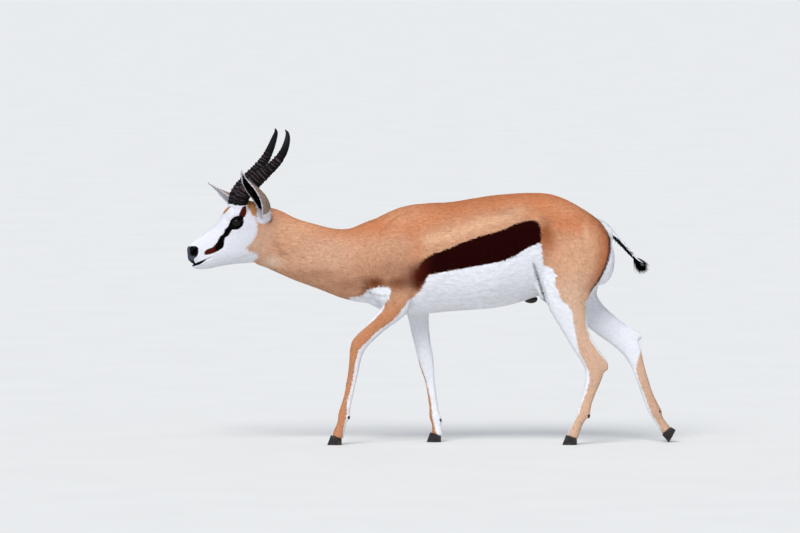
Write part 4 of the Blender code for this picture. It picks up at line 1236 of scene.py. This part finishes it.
def grow(name, kind, chance, rng):
    """Covers part of the hide with short tufts that lie on it and follow its form."""
    spacing, long, wide, lift = TUFTS[kind]
    spots, facing, uv = rooted(skin, spacing, rng, chance)
    count = len(spots)
    kinds = np.full(count, kind, dtype="<U6")
    way = swung(lie_of(spots, facing, kinds), facing, SHORT_SWING, rng)
    length = varied(long, *SHORT_LENGTHS, count, rng)[:, None]
    half_width = varied(wide, *SHORT_WIDTHS, count, rng)
    height = varied(lift, *SHORT_LIFTS, count, rng)[:, None]
    middle, middle_out = settled(spots + way * 0.5 * length, facing)
    tip, tip_out = settled(spots + way * length, facing)
    stations = [
        (0.0, 0.7 * half_width, spots - facing * 0.5 * height, facing),
        (0.5, half_width, middle + middle_out * 0.75 * height, middle_out),
    ]
    marks = markings(middle, middle_out)
    add_coat(name, stations, tip + tip_out * height, np.cross(facing, way), uv, marks, rng)


corners, _ = triangles_of(skin)
centres = points_of(skin)[corners].mean(axis=1)
centre_zones = {name: values[corners].mean(axis=1) for name, values in zones.items()}
hair_kinds = kinds_of(centres, centre_zones)
furred = (centre_zones["bare"] < -0.3) & (centres[:, 2] > CORONET)
rng = np.random.default_rng(SEED)
for kind in TUFTS:
    grow(f"hair_{kind}", kind, (hair_kinds == kind) * furred, rng)

# Coat: its long hair
# The tail ends in a black tuft and has a black fringe below and white hair above. White hair
# fringes the ears and their roots, and a fold of long white hair runs over the rump.
LONG_HAIR = {  # spacing, length, half width, spread from the hide in degrees, droop
    "tail_tuft": (0.95, 36, 1.0, 30, 0.10),
    "tail_fringe": (1.6, 16, 1.1, 11, 0.10),
    "tail_cover": (1.8, 13, 1.2, 8, 0.0),
    "ear_fringe": (2.5, 5.5, 0.6, 11, 0.0),
    "ear_root": (2.4, 9, 0.8, 7, 0.0),
    "rump_fold": (2.6, 15, 1.1, 4, 0.0),
}
LONG_STATIONS = ((0.0, 0.8), (0.33, 1.0), (0.68, 0.7), (1.0, 0.0))  # shares of length and width
LONG_SWING = 10
LONG_LENGTHS = (0.7, 1.2)
LONG_WIDTHS = (0.8, 1.2)
LONG_ROOT = 0.6
CURL_ON = 0.12
CURL_BACK = 0.10


def grow_long(name, chance, rng):
    """Longer hair that leaves the hide by an angle and droops towards its tip."""
    spacing, long, wide, spread, droop = LONG_HAIR[name]
    spots, facing, uv = rooted(skin, spacing, rng, chance)
    count = len(spots)
    kinds = kinds_of(spots, markings(spots, facing))
    way = swung(lie_of(spots, facing, kinds), facing, LONG_SWING, rng)
    length = varied(long, *LONG_LENGTHS, count, rng)[:, None]
    half_width = varied(wide, *LONG_WIDTHS, count, rng)
    lean = np.radians(spread * (0.4 + 1.2 * rng.random(count)))[:, None]
    run = way * np.cos(lean) + facing * np.sin(lean)
    stations = []
    for share, taper in LONG_STATIONS:
        curl = way * CURL_ON * share**2 - facing * CURL_BACK * share**2
        fall = np.array([0, 0, -droop * share**2])
        spot = spots - facing * LONG_ROOT * MM + length * (run * share + curl + fall)
        stations.append((share, half_width * taper, spot, facing))
    tips = stations.pop()[2]
    add_coat(name, stations, tips, np.cross(facing, way), uv, markings(spots, facing), rng)


tail_share = centre_zones["tail"]
ear_white = (centre_zones["ear"] > 0.4) & (centre_zones["white"] > -1.0)
head_line = straightened(centres) / MM
ear_root_gap = depth_in(EAR_BASE, head_line[:, 0], head_line[:, 2])
LONG_PLACES = {
    "tail_tuft": tail_share > 0.89,
    "tail_fringe": (tail_share > 0.26) & (tail_share < 0.8) & (centre_zones["black"] > 1),
    "tail_cover": (tail_share > 0.01) & (tail_share < 0.85) & (centre_zones["black"] < -1),
    "ear_fringe": ear_white,
    "ear_root": (ear_root_gap > 0) & (np.abs(head_line[:, 1]) > 20) & (centre_zones["ear"] < 0.4),
    "rump_fold": hair_kinds == "crest",
}
for name, chance in LONG_PLACES.items():
    grow_long(name, chance.astype(float), rng)

# Eyes
# Large dark eyes set at the sides of the head. Each is a ball with a clear, bulging front,
# a dark brown iris and a level, oval pupil, and it lies behind the lids of the hide.
EYE_BULGE = 1.3
PUPIL = (6.2, 3.3)
IRIS = 10.5


def eye_dress(wire):
    across, height = wire.field("across"), wire.field("height")
    pupil = ((across / PUPIL[0]) ** 2 + (height / PUPIL[1]) ** 2).between(1.25, 0.85)
    ring = (across ** 2 + height ** 2) ** 0.5
    rays = wire.noise(wire.place(), 700.0, 3.0).between(0.2, 0.8)
    iris = rays.over(paint(12, 8, 7), paint(27, 17, 12))
    colour = ring.between(IRIS - 2.5, IRIS).over(iris, paint(6, 5, 5))
    return {
        "Base Color": pupil.over(colour, paint(4, 4, 6)),
        "Roughness": ring.between(IRIS, IRIS + 4) * 0.1 + 0.05,
    }


eye_finish = finish("eye_gloss", eye_dress, Specular_IOR_Level=0.12, Coat_Weight=0.06)
for side, name in SIDES:
    centre, outlook, along, upward = eye_frame(side)
    ball = bmesh.new()
    bmesh.ops.create_icosphere(ball, subdivisions=5, radius=EYE_RADIUS)
    for vertex in ball.verts:
        front = vertex.co.normalized().dot(Vector(outlook))
        vertex.co *= 1 + EYE_BULGE * MM / EYE_RADIUS * rise(front, 0.80, 1.0)
    bmesh.ops.translate(ball, vec=Vector(centre), verts=ball.verts)
    eye = add_piece(f"eyeball_{name}", mesh_of(ball), eye_finish)
    offsets = (points_of(eye.data) - centre) / MM
    behind = 40.0 * (offsets @ outlook < 0)
    carry(eye.data, {"across": offsets @ along + behind, "height": offsets @ upward})
    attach(eye, "root")
    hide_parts(f"eye_{name}")

# Horns
# Black horn sheaths in the shape of a lyre, with some twenty rounded ridges from the brow up,
# strongest in front, and smooth hooked tips. They stand on the skull behind the eyes.
HORN_LINE = [  # place, height and distance out on the straight head, and radius, in mm
    (-616, 736, 26, 18),
    (-617, 755, 27, 21.5),
    (-615, 768, 29, 23.5),
    (-604, 793, 34, 23),
    (-572, 828, 43, 21.5),
    (-537, 861, 53, 18.5),
    (-508, 891, 65, 15.5),
    (-488, 924, 73, 12.5),
    (-476, 956, 70, 9.5),
    (-472, 978, 61, 6),
    (-477, 991, 54, 1.5),
]
HORN_RINGS = 250
HORN_SIDES = 30
RIDGES = 22
RIDGED_SHARE = 0.77
RIDGE_HEIGHT = 2.9
VALLEY_DEPTH = 1.3
RIDGE_DRIFT = 0.16
RIDGE_SPREAD = 0.1


def horn_dress(wire):
    ridge, along = wire.field("ridge"), wire.field("along")
    place = wire.place()
    fibres = wire.noise(place, 520.0, 4.0, (1, 1, 0.22))
    wear_and_highlight = wire.noise(place, 60.0, 2.0).between(0.3, 0.7)
    # Painted highlight on the ridge crests, varied by a noise that also gives the horn's worn bumps.
    crest_highlight = ridge.between(0.45, 1.0) * (0.25 + wear_and_highlight * 0.75)
    colour = crest_highlight.over(paint(8, 6, 7), paint(84, 67, 69))
    colour = (fibres.between(0.5, 0.8) * 0.2).over(colour, paint(50, 40, 48))
    colour = along.between(0.74, 0.88).over(colour, paint(21, 19, 26))
    return {
        "Base Color": colour,
        "Roughness": 0.6 - along.between(0.7, 0.85) * 0.16 + fibres * 0.12,
        "Normal": wire.bump(fibres + wear_and_highlight * 0.5, 0.0008, 0.55),
    }


horn_finish = finish("horn_sheath", horn_dress, Specular_IOR_Level=0.1)
rows = flow(HORN_LINE, 12)
run = np.concatenate([[0], np.cumsum(np.linalg.norm(np.diff(rows[:, :3], axis=0), axis=1))])
shares = np.linspace(0, 1, HORN_RINGS)
place, height, out, radius = (
    np.interp(shares * run[-1], run, rows[:, i]) * MM for i in range(4)
)
front = unit(with_head(-1.0, 0, 0) - with_head(0, 0, 0))[0]
across = np.cross(front, [0, 0, 1.0])
turn = np.linspace(0, 2 * math.pi, HORN_SIDES, endpoint=False)
for side, name in SIDES:
    line = with_head(place, height, side * out)
    ovals = hoops(line, radius, HORN_OVAL * radius, across, HORN_SIDES)
    wobble = rng.normal(0, RIDGE_SPREAD, (RIDGES + 2, 3))
    rings, ridge_values = [], []
    for share, centre, ring in zip(shares, line, ovals):
        way = unit(ring - centre)
        level = (share / RIDGED_SHARE) ** 0.86 * RIDGES
        near = wobble[min(int(level), RIDGES)]
        phase = level + RIDGE_DRIFT * np.cos(turn + 0.6) + RIDGE_DRIFT * math.sin(2.1 * level)
        phase += near[0] * np.sin(turn) + near[1] * np.sin(2 * turn)
        crest = bell(((phase % 1) - 0.5, 0.27))
        strength = rise(way @ front, -0.9, 0.5) * 0.5 + 0.5 + near[2]
        fade = rise(share, RIDGED_SHARE + 0.03, RIDGED_SHARE - 0.10) * rise(share, 0.06, 0.10)
        raised = crest * strength * fade
        rings.append(ring + way * ((raised * RIDGE_HEIGHT - VALLEY_DEPTH * fade) * MM)[:, None])
        ridge_values.append(raised)
    horn = add_piece(f"horn_sheath_{name}", mesh_of(sleeve(rings)), horn_finish)
    spots = points_of(horn.data)
    flat_rings = np.concatenate(rings)
    flat_ridges = np.concatenate(ridge_values)
    flat_shares = np.repeat(shares, HORN_SIDES)
    nearest = [int(np.argmin(((flat_rings - spot) ** 2).sum(axis=1))) for spot in spots]
    carry(horn.data, {"ridge": flat_ridges[nearest], "along": flat_shares[nearest]})
    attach(horn, "root")
    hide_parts(f"horn_{name}")

# Hooves and dewclaws
# Each foot stands on two black claws of horn with faint growth rings, and has two small
# dewclaws behind the fetlock.
HOOF_GRAIN = 0.9 * MM
HOOF_ROUNDS = 3
DEWCLAW_SIZE = (5.0, 4.4, 7.5)
DEWCLAWS = [  # place, height, distance out of each leg's pair, and side
    (-264, 87, 68, -1),
    (25, 69, 62, 1),
    (491, 91, 62, -1),
    (717, 95, 58, 1),
]
DEWCLAW_APART = 8


def hoof_dress(wire):
    place = wire.place()
    rings = wire.noise(place, 90.0, 3.0, (0.3, 0.3, 3.0))
    dust = wire.noise(place, 45.0, 3.0).between(0.45, 0.75)
    colour = (rings.between(0.35, 0.7) * 0.6).over(paint(27, 24, 26), paint(58, 50, 48))
    return {
        "Base Color": (dust * 0.35).over(colour, paint(112, 98, 84)),
        "Roughness": 0.42 + dust * 0.3,
        "Normal": wire.bump(rings, 0.0012, 0.5),
    }


hoof_finish = finish("hoof_horn", hoof_dress, Specular_IOR_Level=0.3)
for node in [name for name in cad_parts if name.startswith("hoof_")]:
    form = melted({node: 0.0}, [], HOOF_GRAIN, HOOF_ROUNDS)
    claw = add_piece(node.replace("hoof_", "claw_"), form, hoof_finish)
    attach(claw, "root")
    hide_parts(node)
for place, height, out, side in DEWCLAWS:
    for apart in (-DEWCLAW_APART, DEWCLAW_APART):
        bud = bmesh.new()
        bmesh.ops.create_icosphere(bud, subdivisions=4, radius=1.0)
        for vertex in bud.verts:
            low = max(0.0, -vertex.co.z)
            vertex.co.x = vertex.co.x * (1 - 0.35 * low) + 0.25 * low
            vertex.co.y *= 1 - 0.4 * low
        bmesh.ops.scale(bud, vec=Vector(DEWCLAW_SIZE) * MM, verts=bud.verts)
        centre = Vector((place * MM, MIDDLE + side * (out + apart) * MM, height * MM))
        bmesh.ops.translate(bud, vec=centre, verts=bud.verts)
        leg = ("foreleg" if place < 150 else "hindleg") + ("_left" if side < 0 else "_right")
        where = "inner" if apart < 0 else "outer"
        claw = add_piece(f"dewclaw_{leg}_{where}", mesh_of(bud), hoof_finish)
        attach(claw, "root")

# Sheath
# A short fold of dark, wrinkled skin without hair. It hangs under the belly between the
# flanks, and its foot is grown into the hide.
SHEATH_GRAIN = 0.9 * MM
SHEATH_ROUNDS = 3


def sheath_dress(wire):
    place = wire.place()
    folds = wire.noise(place, 160.0, 3.0, (1, 0.5, 0.4))
    return {
        "Base Color": folds.between(0.3, 0.7).over(paint(22, 18, 19), paint(50, 40, 40)),
        "Roughness": 0.55 + folds * 0.2,
        "Normal": wire.bump(folds, 0.0015, 0.7),
    }


sheath_finish = finish("sheath_skin", sheath_dress, Specular_IOR_Level=0.3)
sheath_form = melted({"sheath": 0.0}, [], SHEATH_GRAIN, SHEATH_ROUNDS)
sheath = add_piece("sheath_fold", sheath_form, sheath_finish)
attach(sheath, "root")
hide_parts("sheath")

boxes = {"cad": cad_box, "visual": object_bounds()}
{name: [list(corner) for corner in box] for name, box in boxes.items()}
